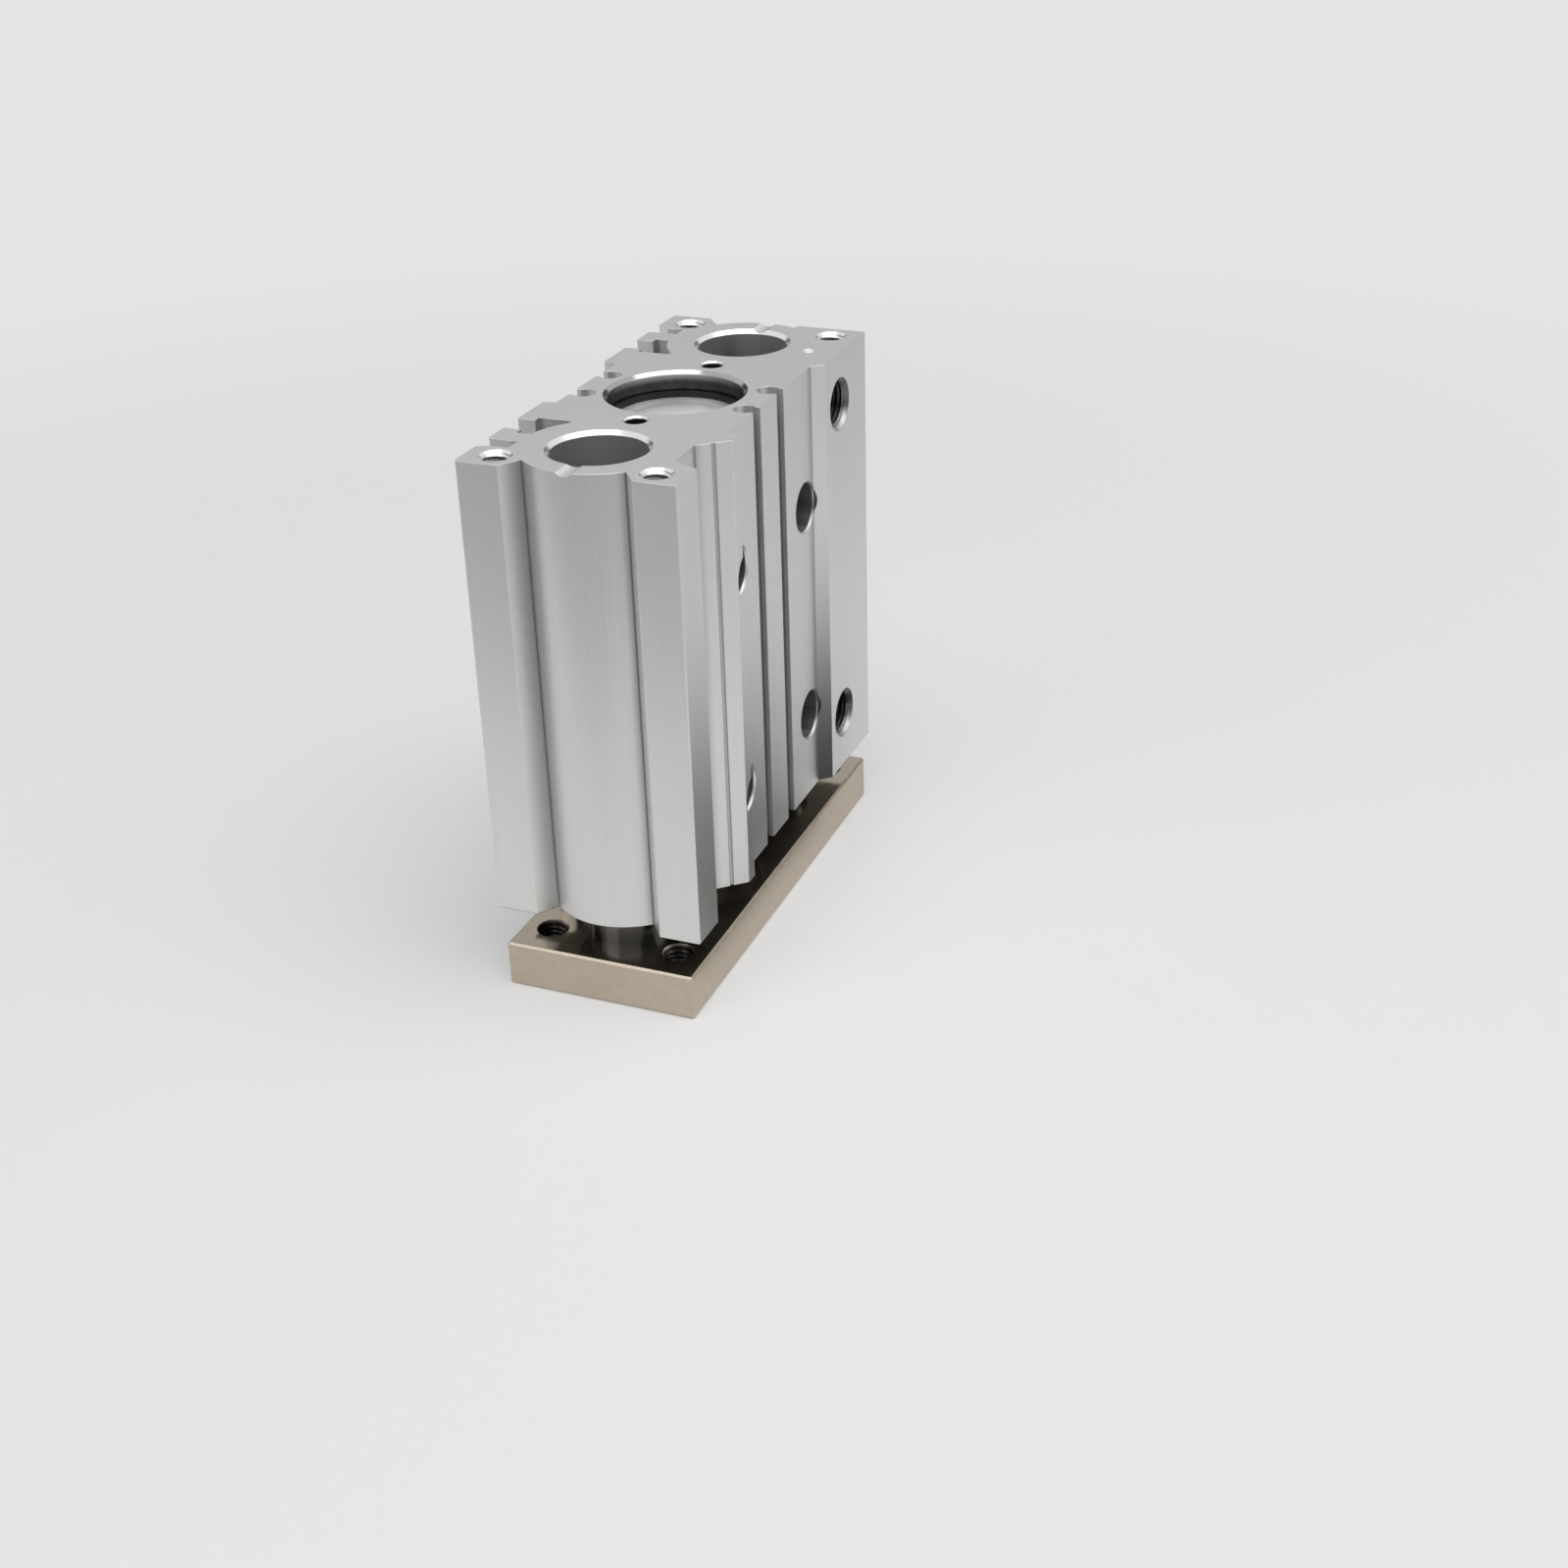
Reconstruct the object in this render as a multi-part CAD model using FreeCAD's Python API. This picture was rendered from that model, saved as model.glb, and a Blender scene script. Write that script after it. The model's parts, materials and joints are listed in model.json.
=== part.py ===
"""Compact guided air cylinder, 25 mm bore and 50 mm stroke, standing on its end plate.

Frame, in millimetres: origin at the centre of the end plate's outer face, +Z along the
rods towards the head end, +X along the wide side, +Y towards the T-slot side.
Two rigid groups: the carriage (plate, rods, piston) and the barrel that slides on it.
"""
import FreeCAD, Part
import math
import os

os.makedirs("parts", exist_ok=True)
V = FreeCAD.Vector

# Main sizes
stroke = 50.0
bore_d = 25.0
rod_d = 12.0
guide_d = 16.0
piston_t = 9.2
plate_d = 38.0
plate_t = 9.0
plate_gap = 7.0
plate_end = 14.5

# Walls that set the body's width and depth round its bores
barrel_wall = 8.0
bolt_wall = 1.8
lobe_wall = 3.0
bearing_wall = 2.5

# Clearances and small edge sizes
slide_gap = 0.03
seal_gap = 0.05
piston_gap = 0.10
seat_gap = 0.02
end_gap = 0.2
corner_r = 0.4
mouth_chamfer = 0.75
plate_chamfer = 0.4
past = 1.0
hex_sides = 6

# Body profile: end posts and lobes round the guide bores
post_d = 8.0
port_post_d = 14.3
lobe_notch_drop = 3.8
lobe_extra_r = 1.0

# Body profile: the switch side (-Y)
front_post_w = 8.5
front_post_slope = 2.8
front_recess_w = 7.7
front_recess_depth = 5.2
front_rib_offset = 2.1
front_rib_w = 2.8
front_rib_slope = 1.0
front_panel_depth = 2.2
port_land_w = 22.3
port_land_slope = 2.0
scribe_r = 0.35

# Body profile: the T-slot side (+Y)
rear_post_w = 7.6
rear_post_chamfer_x = 1.1
rear_post_chamfer_y = 2.3
rear_groove_w = 3.4
rear_groove_depth = 5.7
rear_panel_inset = 4.3
rear_panel_slope = 0.6
rear_panel_depth = 2.5
t_slot_offset = 8.0
t_slot_mouth = 5.4
t_slot_width = 8.4
t_slot_neck = 3.4
t_slot_depth = 10.1
t_slot_corner = 0.8
t_slot_wall = 4.2

# Switch grooves, two on each broad side
switch_x = 5.6
switch_mouth = 3.3
switch_r = 2.15
switch_axis_depth = 2.25

# Fastening holes
bolt_pitch_z = 44.0
bolt_first_z = 17.0
bolt_hole_r = 2.7
bolt_seat_r = 4.75
bolt_seat_depth = 9.0
bolt_chamfer = 0.4
m6_tap_r = 2.5
m6_mouth_r = 3.0
m6_depth = 13.0
rear_thread_depth = 12.0
corner_thread_inset_x = 4.5
corner_thread_inset_y = 5.5
dowel_r = 2.0
dowel_depth = 6.0
dowel_chamfer = 0.3

# Air ports and passages
port_inset = 15.0
port_first_z = 11.5
port_last_z = 10.0
port_r = 4.4
port_depth = 8.5
port_chamfer = 0.8
side_port_inset = 6.2
side_port_depth = 8.0
side_port_drop = 9.0
passage_r = 1.25
cross_passage_r = 2.0
drilling_r = 0.9
ball_r = 1.25
ball_below_face = 0.1
ball_seat_depth = 2.3
plug_length = 6.0
plug_below_face = 0.5
plug_gap = 0.05
plug_hex = 5.0
plug_hex_depth = 3.6

# Bore covers, their rings and seals
cover_depth = 4.9
cover_t = 6.6
cover_flange_t = 3.2
cover_dome = 0.6
cover_rim = 3.3
nose_relief = 0.8
collar_t = 11.4
collar_nose_t = 4.5
ring_t = 1.2
ring_groove_r = 0.9
ring_width = 1.6
ring_axial_gap = 0.02
ring_edge = 1.4
ear_length = 2.4
ear_width = 4.4
ear_hole_r = 1.0
ear_gap_deg = 20.0
head_ring_gap_deg = -155.0
rod_ring_gap_deg = 90.0
cord_d = 1.6
cord_groove_w = 2.0
cord_land = 0.6
cord_section_sides = 8
rod_seal_height = 3.2
rod_seal_width = 2.8
rod_seal_land = 0.8
seal_notch = 0.9

# Guide bores
guide_bore_gap = 0.6
bearing_length = 25.0
felt_t = 3.0
holder_t = 1.4
holder_gap = 0.4
guide_ring_edge = 1.3
guide_ring_groove = 0.8
guide_ring_width = 1.7
guide_ring_open_deg = 55.0
guide_ring_gap_deg = 90.0
relief_w = 3.0
relief_depth = 0.6

# Piston and its fittings
bumper_t = 1.2
bumper_inner_gap = 0.4
head_bumper_inset = 2.1
rod_bumper_inset = 1.1
magnet_t = 3.0
magnet_wall = 2.7
piston_seal_h = 2.6
piston_seal_wall = 2.2
piston_seal_land = 1.6
spigot_d = 8.0
peen_r = 4.9
peen_t = 1.3
peen_pocket_depth = 1.6
peen_pocket_gap = 0.4

# Rod ends, bolts and end plate holes
guide_top_depth = 14.5
guide_top_chamfer = 1.0
rod_bolt_d = 6.0
rod_bolt_head_r = 5.0
rod_bolt_head_t = 4.0
rod_bolt_hex = 4.0
rod_bolt_reach = 11.0
guide_bolt_d = 8.0
guide_bolt_head_r = 6.5
guide_bolt_head_t = 5.0
guide_bolt_hex = 5.0
guide_bolt_reach = 14.0
bolt_head_sink = 0.4
bolt_head_side_gap = 0.5
bolt_clear = 0.4
thread_gap = 0.04
hex_depth_share = 0.55
tap_extra_depth = 3.0
plate_thread_inset_x = 7.5
plate_thread_inset_y = 6.0
plate_thread_chamfer = 0.6

# Across the body: bore, wall, bolt column, wall, guide bearing, lobe wall
bore_r = bore_d / 2
rod_r = rod_d / 2
guide_r = guide_d / 2
bolt_x = bore_r + bolt_wall + bolt_hole_r
bearing_outer_r = guide_r + bearing_wall
guide_x = bolt_x + bolt_hole_r + bolt_wall + bearing_outer_r
lobe_r = bearing_outer_r + lobe_wall
half_w = guide_x + lobe_r
lobe_face_r = lobe_r + lobe_extra_r
lobe_face_x = half_w - lobe_face_r
lobe_notch_y = lobe_r - lobe_notch_drop
half_d = bore_r + barrel_wall
plate_w = 2 * (guide_x + plate_end)
front_panel_y = -half_d + front_panel_depth
rear_panel_y = half_d - rear_panel_depth
port_x = half_w - port_inset
side_port_y = -half_d + side_port_inset
bolt_columns = (-bolt_x, bolt_x)

# Up the rods: plate, gap, rod collar, stroke, piston, head cover
body_z0 = plate_t + plate_gap
collar_z0 = body_z0 + ring_edge + ring_t
collar_z1 = collar_z0 + collar_t
piston_z0 = collar_z1 + stroke + end_gap + bumper_t
piston_z1 = piston_z0 + piston_t
cover_z0 = piston_z1 + bumper_t + end_gap
cover_z1 = cover_z0 + cover_t
body_z1 = cover_z1 + cover_depth
body_length = body_z1 - body_z0
port_heights = (body_z0 + port_first_z, body_z1 - port_last_z)
side_port_heights = (port_heights[0], port_heights[1] - side_port_drop)
bolt_heights = (body_z0 + bolt_first_z, body_z0 + bolt_first_z + bolt_pitch_z)
guide_ring_z = body_z0 + guide_ring_edge
holder_z = guide_ring_z + ring_t
felt_z = holder_z + holder_t
bearing_z = felt_z + felt_t
guide_top_z = body_z1 - guide_top_depth


def rod_z(x, y, z0, z1, radius):
    """Upright cylinder between two heights."""
    return Part.makeCylinder(radius, z1 - z0, V(x, y, z0), V(0, 0, 1))


def rod_y(x, z, y0, y1, radius):
    """Cylinder along Y, from y0 to the larger y1."""
    return Part.makeCylinder(radius, y1 - y0, V(x, y0, z), V(0, 1, 0))


def rod_x(y, z, x0, x1, radius):
    """Cylinder along X, from x0 to the larger x1."""
    return Part.makeCylinder(radius, x1 - x0, V(x0, y, z), V(1, 0, 0))


def flare(mouth, inward, radius, chamfer):
    """Cone that breaks a hole's mouth; inward points into the metal."""
    return Part.makeCone(radius + chamfer, radius, chamfer, mouth, inward)


def rounded_face(points, z):
    """Closed face at height z from (x, y, corner radius) points, corners turned by tangent arcs."""
    edges = []
    starts = []
    ends = []
    count = len(points)
    for i, (x, y, radius) in enumerate(points):
        corner = V(x, y, z)
        back = V(points[i - 1][0], points[i - 1][1], z) - corner
        ahead = V(points[(i + 1) % count][0], points[(i + 1) % count][1], z) - corner
        back.normalize()
        ahead.normalize()
        if radius == 0:
            starts.append(corner)
            ends.append(corner)
            continue
        half = back.getAngle(ahead) / 2
        reach = radius / math.tan(half)
        first = corner + back * reach
        last = corner + ahead * reach
        bisector = back + ahead
        bisector.normalize()
        middle = corner + bisector * (radius / math.sin(half) - radius)
        edges.append(Part.Arc(first, middle, last).toShape())
        starts.append(first)
        ends.append(last)
    for i in range(count):
        edges.append(Part.LineSegment(ends[i], starts[(i + 1) % count]).toShape())
    return Part.Face(Part.Wire(Part.__sortEdges__(edges)))


def prism(points, z0, z1):
    """Straight extrusion of a rounded outline."""
    return rounded_face(points, z0).extrude(V(0, 0, z1 - z0))


def turned(profile, x=0.0, y=0.0):
    """Solid of revolution about the upright axis at (x, y) from (radius, height) points."""
    points = [V(r, 0, z) for r, z in profile]
    face = Part.Face(Part.makePolygon(points + points[:1]))
    solid = face.revolve(V(0, 0, 0), V(0, 0, 1), 360)
    solid.translate(V(x, y, 0))
    return solid


def tube(inner_r, outer_r, z0, z1, x=0.0, y=0.0):
    """Plain ring or bush."""
    return turned([(inner_r, z0), (outer_r, z0), (outer_r, z1), (inner_r, z1)], x, y)


def hexagon(axis_point, direction, flats, length):
    """Hexagonal cutter across flats, along a direction."""
    corner = flats / 2 / math.cos(math.pi / hex_sides)
    turns = [2 * math.pi * i / hex_sides for i in range(hex_sides)]
    points = [V(corner * math.cos(turn), corner * math.sin(turn), 0) for turn in turns]
    solid = Part.Face(Part.makePolygon(points + points[:1])).extrude(V(0, 0, length))
    solid.Placement = FreeCAD.Placement(axis_point, FreeCAD.Rotation(V(0, 0, 1), direction))
    return solid


def front_half_outline():
    """The switch side of the profile, from the label end to the port end."""
    recess_y = -half_d + front_recess_depth
    post_x = half_w - front_post_w
    recess_x = post_x - front_post_slope
    rib_x = bolt_x + front_rib_offset
    land_x = half_w - port_land_w
    return [
        (-half_w, -half_d, corner_r),
        (-post_x, -half_d, corner_r),
        (-recess_x, recess_y, corner_r),
        (-recess_x + front_recess_w, recess_y, corner_r),
        (-rib_x - front_rib_w, -half_d, corner_r),
        (-rib_x, -half_d, corner_r),
        (-rib_x + front_rib_slope, front_panel_y, 0),
        (land_x - port_land_slope, front_panel_y, 0),
        (land_x, -half_d, corner_r),
        (half_w, -half_d, corner_r),
    ]


def scribe_x():
    """Middle of the wall that slopes from the recess up to the rib."""
    recess_x1 = half_w - front_post_w - front_post_slope - front_recess_w
    rib_x0 = bolt_x + front_rib_offset + front_rib_w
    return -(recess_x1 + rib_x0) / 2


def rear_quarter_outline(side):
    """The T-slot side of the profile, from the middle outwards; side is +1 or -1 along X."""
    panel_x = bolt_x - rear_panel_inset
    post_x = half_w - rear_post_w
    groove_x0 = post_x - rear_post_chamfer_x
    groove_x1 = groove_x0 - rear_groove_w
    groove_y = half_d - rear_groove_depth
    return [
        (side * (panel_x - rear_panel_slope), rear_panel_y, 0),
        (side * panel_x, half_d, corner_r),
        (side * groove_x1, half_d, corner_r),
        (side * groove_x1, groove_y, corner_r),
        (side * groove_x0, groove_y, corner_r),
        (side * groove_x0, half_d - rear_post_chamfer_y, 0),
        (side * post_x, half_d, corner_r),
        (side * half_w, half_d, corner_r),
    ]


def body_outline():
    """Whole outline of the extrusion, with flat ends where the lobes are joined on."""
    lobe_x = lobe_face_x + math.sqrt(lobe_face_r ** 2 - lobe_notch_y ** 2)
    post_y = half_d - post_d
    port_post_y = -half_d + port_post_d
    port_end = [
        (half_w, port_post_y, corner_r),
        (lobe_x, port_post_y, 0),
        (lobe_x, lobe_notch_y, 0),
        (half_w, post_y, corner_r),
    ]
    label_end = [
        (-half_w, post_y, corner_r),
        (-lobe_x, lobe_notch_y, 0),
        (-lobe_x, -lobe_notch_y, 0),
        (-half_w, -post_y, corner_r),
    ]
    rear_right = rear_quarter_outline(1)[::-1]
    rear_left = rear_quarter_outline(-1)
    return front_half_outline() + port_end + rear_right + rear_left + label_end


def t_slot(x):
    """T-shaped channel open to +Y, its floor curving round the wall of the guide bearing."""
    wide = t_slot_width / 2
    narrow = t_slot_mouth / 2
    floor_y = half_d - t_slot_depth
    neck_y = half_d - t_slot_neck
    points = [
        (x - wide, floor_y, t_slot_corner),
        (x + wide, floor_y, t_slot_corner),
        (x + wide, neck_y, 0),
        (x + narrow, neck_y, 0),
        (x + narrow, half_d + past, 0),
        (x - narrow, half_d + past, 0),
        (x - narrow, neck_y, 0),
        (x - wide, neck_y, 0),
    ]
    wall_r = bearing_outer_r + t_slot_wall
    wall = rod_z(math.copysign(guide_x, x), 0, body_z0 - past, body_z1 + past, wall_r)
    return prism(points, body_z0 - past, body_z1 + past).cut(wall)


def switch_groove(x, panel_y):
    """Round-bottomed channel with a narrower mouth; panel_y is the face that it opens in."""
    axis_y = panel_y - math.copysign(switch_axis_depth, panel_y)
    mouth_y = panel_y + math.copysign(past, panel_y)
    channel = rod_z(x, axis_y, body_z0 - past, body_z1 + past, switch_r)
    mouth = Part.makeBox(switch_mouth, abs(mouth_y - axis_y), body_length + 2 * past,
                         V(x - switch_mouth / 2, min(axis_y, mouth_y), body_z0 - past))
    return channel.fuse(mouth)


def lobe(side):
    """Rounded outer face of one end; side is +1 or -1 along X."""
    face_x = side * lobe_face_x
    band = Part.makeBox(2 * lobe_face_r, 2 * lobe_notch_y, body_length,
                        V(face_x - lobe_face_r, -lobe_notch_y, body_z0))
    return rod_z(face_x, 0, body_z0, body_z1, lobe_face_r).common(band)


def extrusion():
    """The bare profile at full length: outline, lobes, T-slots, switch grooves and scribed line."""
    solid = prism(body_outline(), body_z0, body_z1)
    solid = solid.fuse([lobe(-1), lobe(1)]).removeSplitter()
    cutters = [t_slot(side * (bolt_x + t_slot_offset)) for side in (-1, 1)]
    for side in (-1, 1):
        cutters.append(switch_groove(side * switch_x, front_panel_y))
        cutters.append(switch_groove(side * switch_x, rear_panel_y))
    scribe_y = -half_d + front_recess_depth / 2
    cutters.append(rod_z(scribe_x(), scribe_y, body_z0 - past, body_z1 + past, scribe_r))
    return solid.cut(cutters)


def main_bore_cutters():
    """Cylinder bore with a chamfered head mouth and a snap ring groove at each end."""
    groove_r = bore_r + ring_groove_r
    groove_h = ring_t + 2 * ring_axial_gap
    rod_groove_z = collar_z0 - ring_t - ring_axial_gap
    return [
        rod_z(0, 0, body_z0 - past, body_z1 + past, bore_r),
        flare(V(0, 0, body_z1), V(0, 0, -1), bore_r, mouth_chamfer),
        flare(V(0, 0, body_z0), V(0, 0, 1), bore_r, mouth_chamfer),
        rod_z(0, 0, cover_z1 - ring_axial_gap, cover_z1 - ring_axial_gap + groove_h, groove_r),
        rod_z(0, 0, rod_groove_z, rod_groove_z + groove_h, groove_r),
    ]


def guide_bore_cutters(x):
    """Guide bore, its wider bearing seat at the rod end, ring groove and round relief notch."""
    clear_r = guide_r + guide_bore_gap
    groove_z = guide_ring_z - ring_axial_gap
    outer_x = math.copysign(half_w + past, x)
    notch_r = (relief_w ** 2 / 4 + relief_depth ** 2) / (2 * relief_depth)
    notch_z = body_z1 - relief_depth + notch_r
    return [
        rod_z(x, 0, body_z0 - past, body_z1 + past, clear_r),
        flare(V(x, 0, body_z1), V(0, 0, -1), clear_r, mouth_chamfer),
        rod_z(x, 0, body_z0 - past, bearing_z + bearing_length, bearing_outer_r),
        rod_z(x, 0, groove_z, groove_z + ring_t + 2 * ring_axial_gap,
              bearing_outer_r + guide_ring_groove),
        rod_x(0, notch_z, min(x, outer_x), max(x, outer_x), notch_r),
    ]


def bolt_hole_cutters(x, z):
    """Counterbored hole from the switch side, continuing as a tapped hole to the T-slot side."""
    seat_y = -half_d + bolt_seat_depth
    thread_y = half_d - rear_thread_depth
    return [
        rod_y(x, z, -half_d - past, seat_y, bolt_seat_r),
        flare(V(x, front_panel_y, z), V(0, 1, 0), bolt_seat_r, bolt_chamfer),
        rod_y(x, z, seat_y - past, thread_y, bolt_hole_r),
        rod_y(x, z, thread_y - past, half_d + past, m6_tap_r),
        flare(V(x, half_d, z), V(0, -1, 0), m6_tap_r, m6_mouth_r - m6_tap_r),
    ]


def head_face_cutters():
    """Corner threads and dowel holes in the head end face."""
    cutters = []
    for side_x in (-1, 1):
        for side_y in (-1, 1):
            x = side_x * (half_w - corner_thread_inset_x)
            y = side_y * (half_d - corner_thread_inset_y)
            cutters.append(rod_z(x, y, body_z1 - m6_depth, body_z1 + past, m6_tap_r))
            cutters.append(flare(V(x, y, body_z1), V(0, 0, -1), m6_tap_r, m6_mouth_r - m6_tap_r))
        x = side_x * bolt_x
        cutters.append(rod_z(x, 0, body_z1 - dowel_depth, body_z1 + past, dowel_r))
        cutters.append(flare(V(x, 0, body_z1), V(0, 0, -1), dowel_r, dowel_chamfer))
    return cutters


def port_cutters(z, side_z):
    """Front port, plugged side port, the passage out of each and the slanted one into the bore."""
    port_floor_y = -half_d + port_depth
    side_x = half_w - side_port_depth
    start = V(port_x, port_floor_y - passage_r, z)
    aim = V(0, 0, z) - start
    return [
        rod_y(port_x, z, -half_d - past, port_floor_y, port_r),
        flare(V(port_x, -half_d, z), V(0, 1, 0), port_r, port_chamfer),
        rod_x(side_port_y, side_z, side_x, half_w + past, port_r),
        flare(V(half_w, side_port_y, side_z), V(-1, 0, 0), port_r, port_chamfer),
        rod_x(side_port_y, side_z, port_x - cross_passage_r, side_x, cross_passage_r),
        Part.makeCylinder(passage_r, aim.Length - bore_r + passage_r, start, aim),
    ]


def drilled_passage_cutters():
    """Upright drilling from the head end through the front port to the lower side port."""
    return [
        rod_z(port_x, side_port_y, side_port_heights[1], body_z1 + past, drilling_r),
        rod_z(port_x, side_port_y, body_z1 - ball_seat_depth, body_z1 + past, ball_r + seat_gap),
    ]


def cylinder_body():
    cutters = main_bore_cutters() + head_face_cutters() + drilled_passage_cutters()
    for side in (-1, 1):
        cutters += guide_bore_cutters(side * guide_x)
    for x in bolt_columns:
        for z in bolt_heights:
            cutters += bolt_hole_cutters(x, z)
    for z, side_z in zip(port_heights, side_port_heights):
        cutters += port_cutters(z, side_z)
    return extrusion().cut(cutters)


def cord_groove_profile(outer_r, z):
    """Points of a rectangular seal groove in a wall of radius outer_r, starting at height z."""
    floor_r = bore_r - cord_d - 2 * seat_gap
    return [(outer_r, z), (floor_r, z), (floor_r, z + cord_groove_w), (outer_r, z + cord_groove_w)]


def cover_groove_z():
    return cover_z1 - cover_flange_t + cord_land


def collar_groove_z():
    return collar_z1 - collar_nose_t - cord_land - cord_groove_w


def head_cover():
    """Turned cover with a reduced nose, a seal groove and a shallow domed face."""
    outer_r = bore_r - seat_gap
    nose_r = bore_r - nose_relief
    flange_z = cover_z1 - cover_flange_t
    profile = [(0, cover_z0), (nose_r, cover_z0), (nose_r, flange_z), (outer_r, flange_z)]
    profile += cord_groove_profile(outer_r, cover_groove_z())
    profile += [(outer_r, cover_z1), (0, cover_z1)]
    dome_r = bore_r - cover_rim
    sphere_r = (dome_r ** 2 + cover_dome ** 2) / (2 * cover_dome)
    sphere = Part.makeSphere(sphere_r, V(0, 0, cover_z1 + cover_dome - sphere_r))
    dome = sphere.common(rod_z(0, 0, cover_z1, cover_z1 + cover_dome + past, bore_r))
    return turned(profile).fuse(dome).removeSplitter()


def rod_collar():
    """Rod bearing: guides the piston rod, holds the rod seal, and has a reduced nose."""
    outer_r = bore_r - seat_gap
    nose_r = bore_r - nose_relief
    nose_z = collar_z1 - collar_nose_t
    inner_r = rod_r + slide_gap
    seal_z0 = collar_z0 + rod_seal_land
    seal_z1 = seal_z0 + rod_seal_height + 2 * seat_gap
    seal_r = rod_r + rod_seal_width + seat_gap
    profile = [(inner_r, collar_z0), (outer_r, collar_z0)]
    profile += cord_groove_profile(outer_r, collar_groove_z())
    profile += [(outer_r, nose_z), (nose_r, nose_z), (nose_r, collar_z1), (inner_r, collar_z1)]
    profile += [(inner_r, seal_z1), (seal_r, seal_z1), (seal_r, seal_z0), (inner_r, seal_z0)]
    return turned(profile)


def cord_ring(z):
    """Sealing cord squeezed between a groove floor and the bore wall, its round section in flats."""
    section_r = cord_d / 2
    centre_r = bore_r - seat_gap - section_r
    centre_z = z + cord_groove_w / 2
    edge_r = section_r / math.cos(math.pi / cord_section_sides)
    turns = [2 * math.pi * (i + 0.5) / cord_section_sides for i in range(cord_section_sides)]
    return turned([(centre_r + edge_r * math.cos(turn), centre_z + edge_r * math.sin(turn))
                   for turn in turns])


def eared_snap_ring(z, gap_direction_deg):
    """Flat internal snap ring: an open ring with two drilled ears facing inwards."""
    outer_r = bore_r + ring_groove_r - seat_gap
    inner_r = outer_r - ring_width
    ear_r = ear_width / 2
    ear_axis_r = inner_r - ear_length + ear_r
    ears = []
    cutters = [open_wedge(0, z, gap_direction_deg, ear_gap_deg / 2)]
    for side in (-1, 1):
        turn = math.radians(gap_direction_deg + side * ear_gap_deg)
        x = ear_axis_r * math.cos(turn)
        y = ear_axis_r * math.sin(turn)
        ears.append(rod_z(x, y, z, z + ring_t, ear_r))
        cutters.append(rod_z(x, y, z - past, z + ring_t + past, ear_hole_r))
    ring = tube(inner_r, outer_r, z, z + ring_t).fuse(ears)
    return ring.common(rod_z(0, 0, z, z + ring_t, outer_r)).cut(cutters)


def open_wedge(x, z, direction_deg, half_deg):
    """Wedge that opens a split ring of height z, about the upright axis at (x, 0)."""
    reach = 2 * bore_r
    low_z = z - past
    corners = [V(x, 0, low_z)]
    for turn_deg in (direction_deg - half_deg, direction_deg + half_deg):
        turn = math.radians(turn_deg)
        corners.append(V(x + reach * math.cos(turn), reach * math.sin(turn), low_z))
    face = Part.Face(Part.makePolygon(corners + corners[:1]))
    return face.extrude(V(0, 0, ring_t + 2 * past))


def lip_ring(inner_r, outer_r, z0, z1, open_upwards):
    """Pressure seal: a ring with a V groove between its two lips."""
    middle_r = (inner_r + outer_r) / 2
    if open_upwards:
        profile = [(inner_r, z0), (outer_r, z0), (outer_r, z1), (middle_r + seal_notch / 2, z1),
                   (middle_r, z1 - seal_notch), (middle_r - seal_notch / 2, z1), (inner_r, z1)]
    else:
        profile = [(inner_r, z0), (middle_r - seal_notch / 2, z0), (middle_r, z0 + seal_notch),
                   (middle_r + seal_notch / 2, z0), (outer_r, z0), (outer_r, z1), (inner_r, z1)]
    return turned(profile)


def rod_seal():
    z0 = collar_z0 + rod_seal_land + seat_gap
    return lip_ring(rod_r + seal_gap, rod_r + rod_seal_width, z0, z0 + rod_seal_height, True)


def slide_bearing(x):
    return tube(guide_r + slide_gap, bearing_outer_r - seat_gap,
                bearing_z, bearing_z + bearing_length, x)


def felt_wiper(x):
    return tube(guide_r + seal_gap, bearing_outer_r - seat_gap, felt_z, felt_z + felt_t, x)


def felt_holder(x):
    return tube(guide_r + holder_gap, bearing_outer_r - seat_gap, holder_z, holder_z + holder_t, x)


def guide_snap_ring(x):
    """Plain open ring in the groove below the felt holder."""
    outer_r = bearing_outer_r + guide_ring_groove - seat_gap
    ring = tube(outer_r - guide_ring_width, outer_r, guide_ring_z, guide_ring_z + ring_t, x)
    return ring.cut(open_wedge(x, guide_ring_z, guide_ring_gap_deg, guide_ring_open_deg / 2))


def port_plugs():
    """The two socket plugs that close the side ports, as separate solids."""
    plugs = []
    outer_x = half_w - plug_below_face
    for z in side_port_heights:
        plug = rod_x(side_port_y, z, outer_x - plug_length, outer_x, port_r - plug_gap)
        socket = hexagon(V(outer_x - plug_hex_depth, side_port_y, z), V(1, 0, 0), plug_hex,
                         plug_hex_depth + past)
        plugs.append(plug.cut(socket))
    return Part.makeCompound(plugs)


def passage_ball():
    return Part.makeSphere(ball_r, V(port_x, side_port_y, body_z1 - ball_below_face - ball_r))


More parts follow.
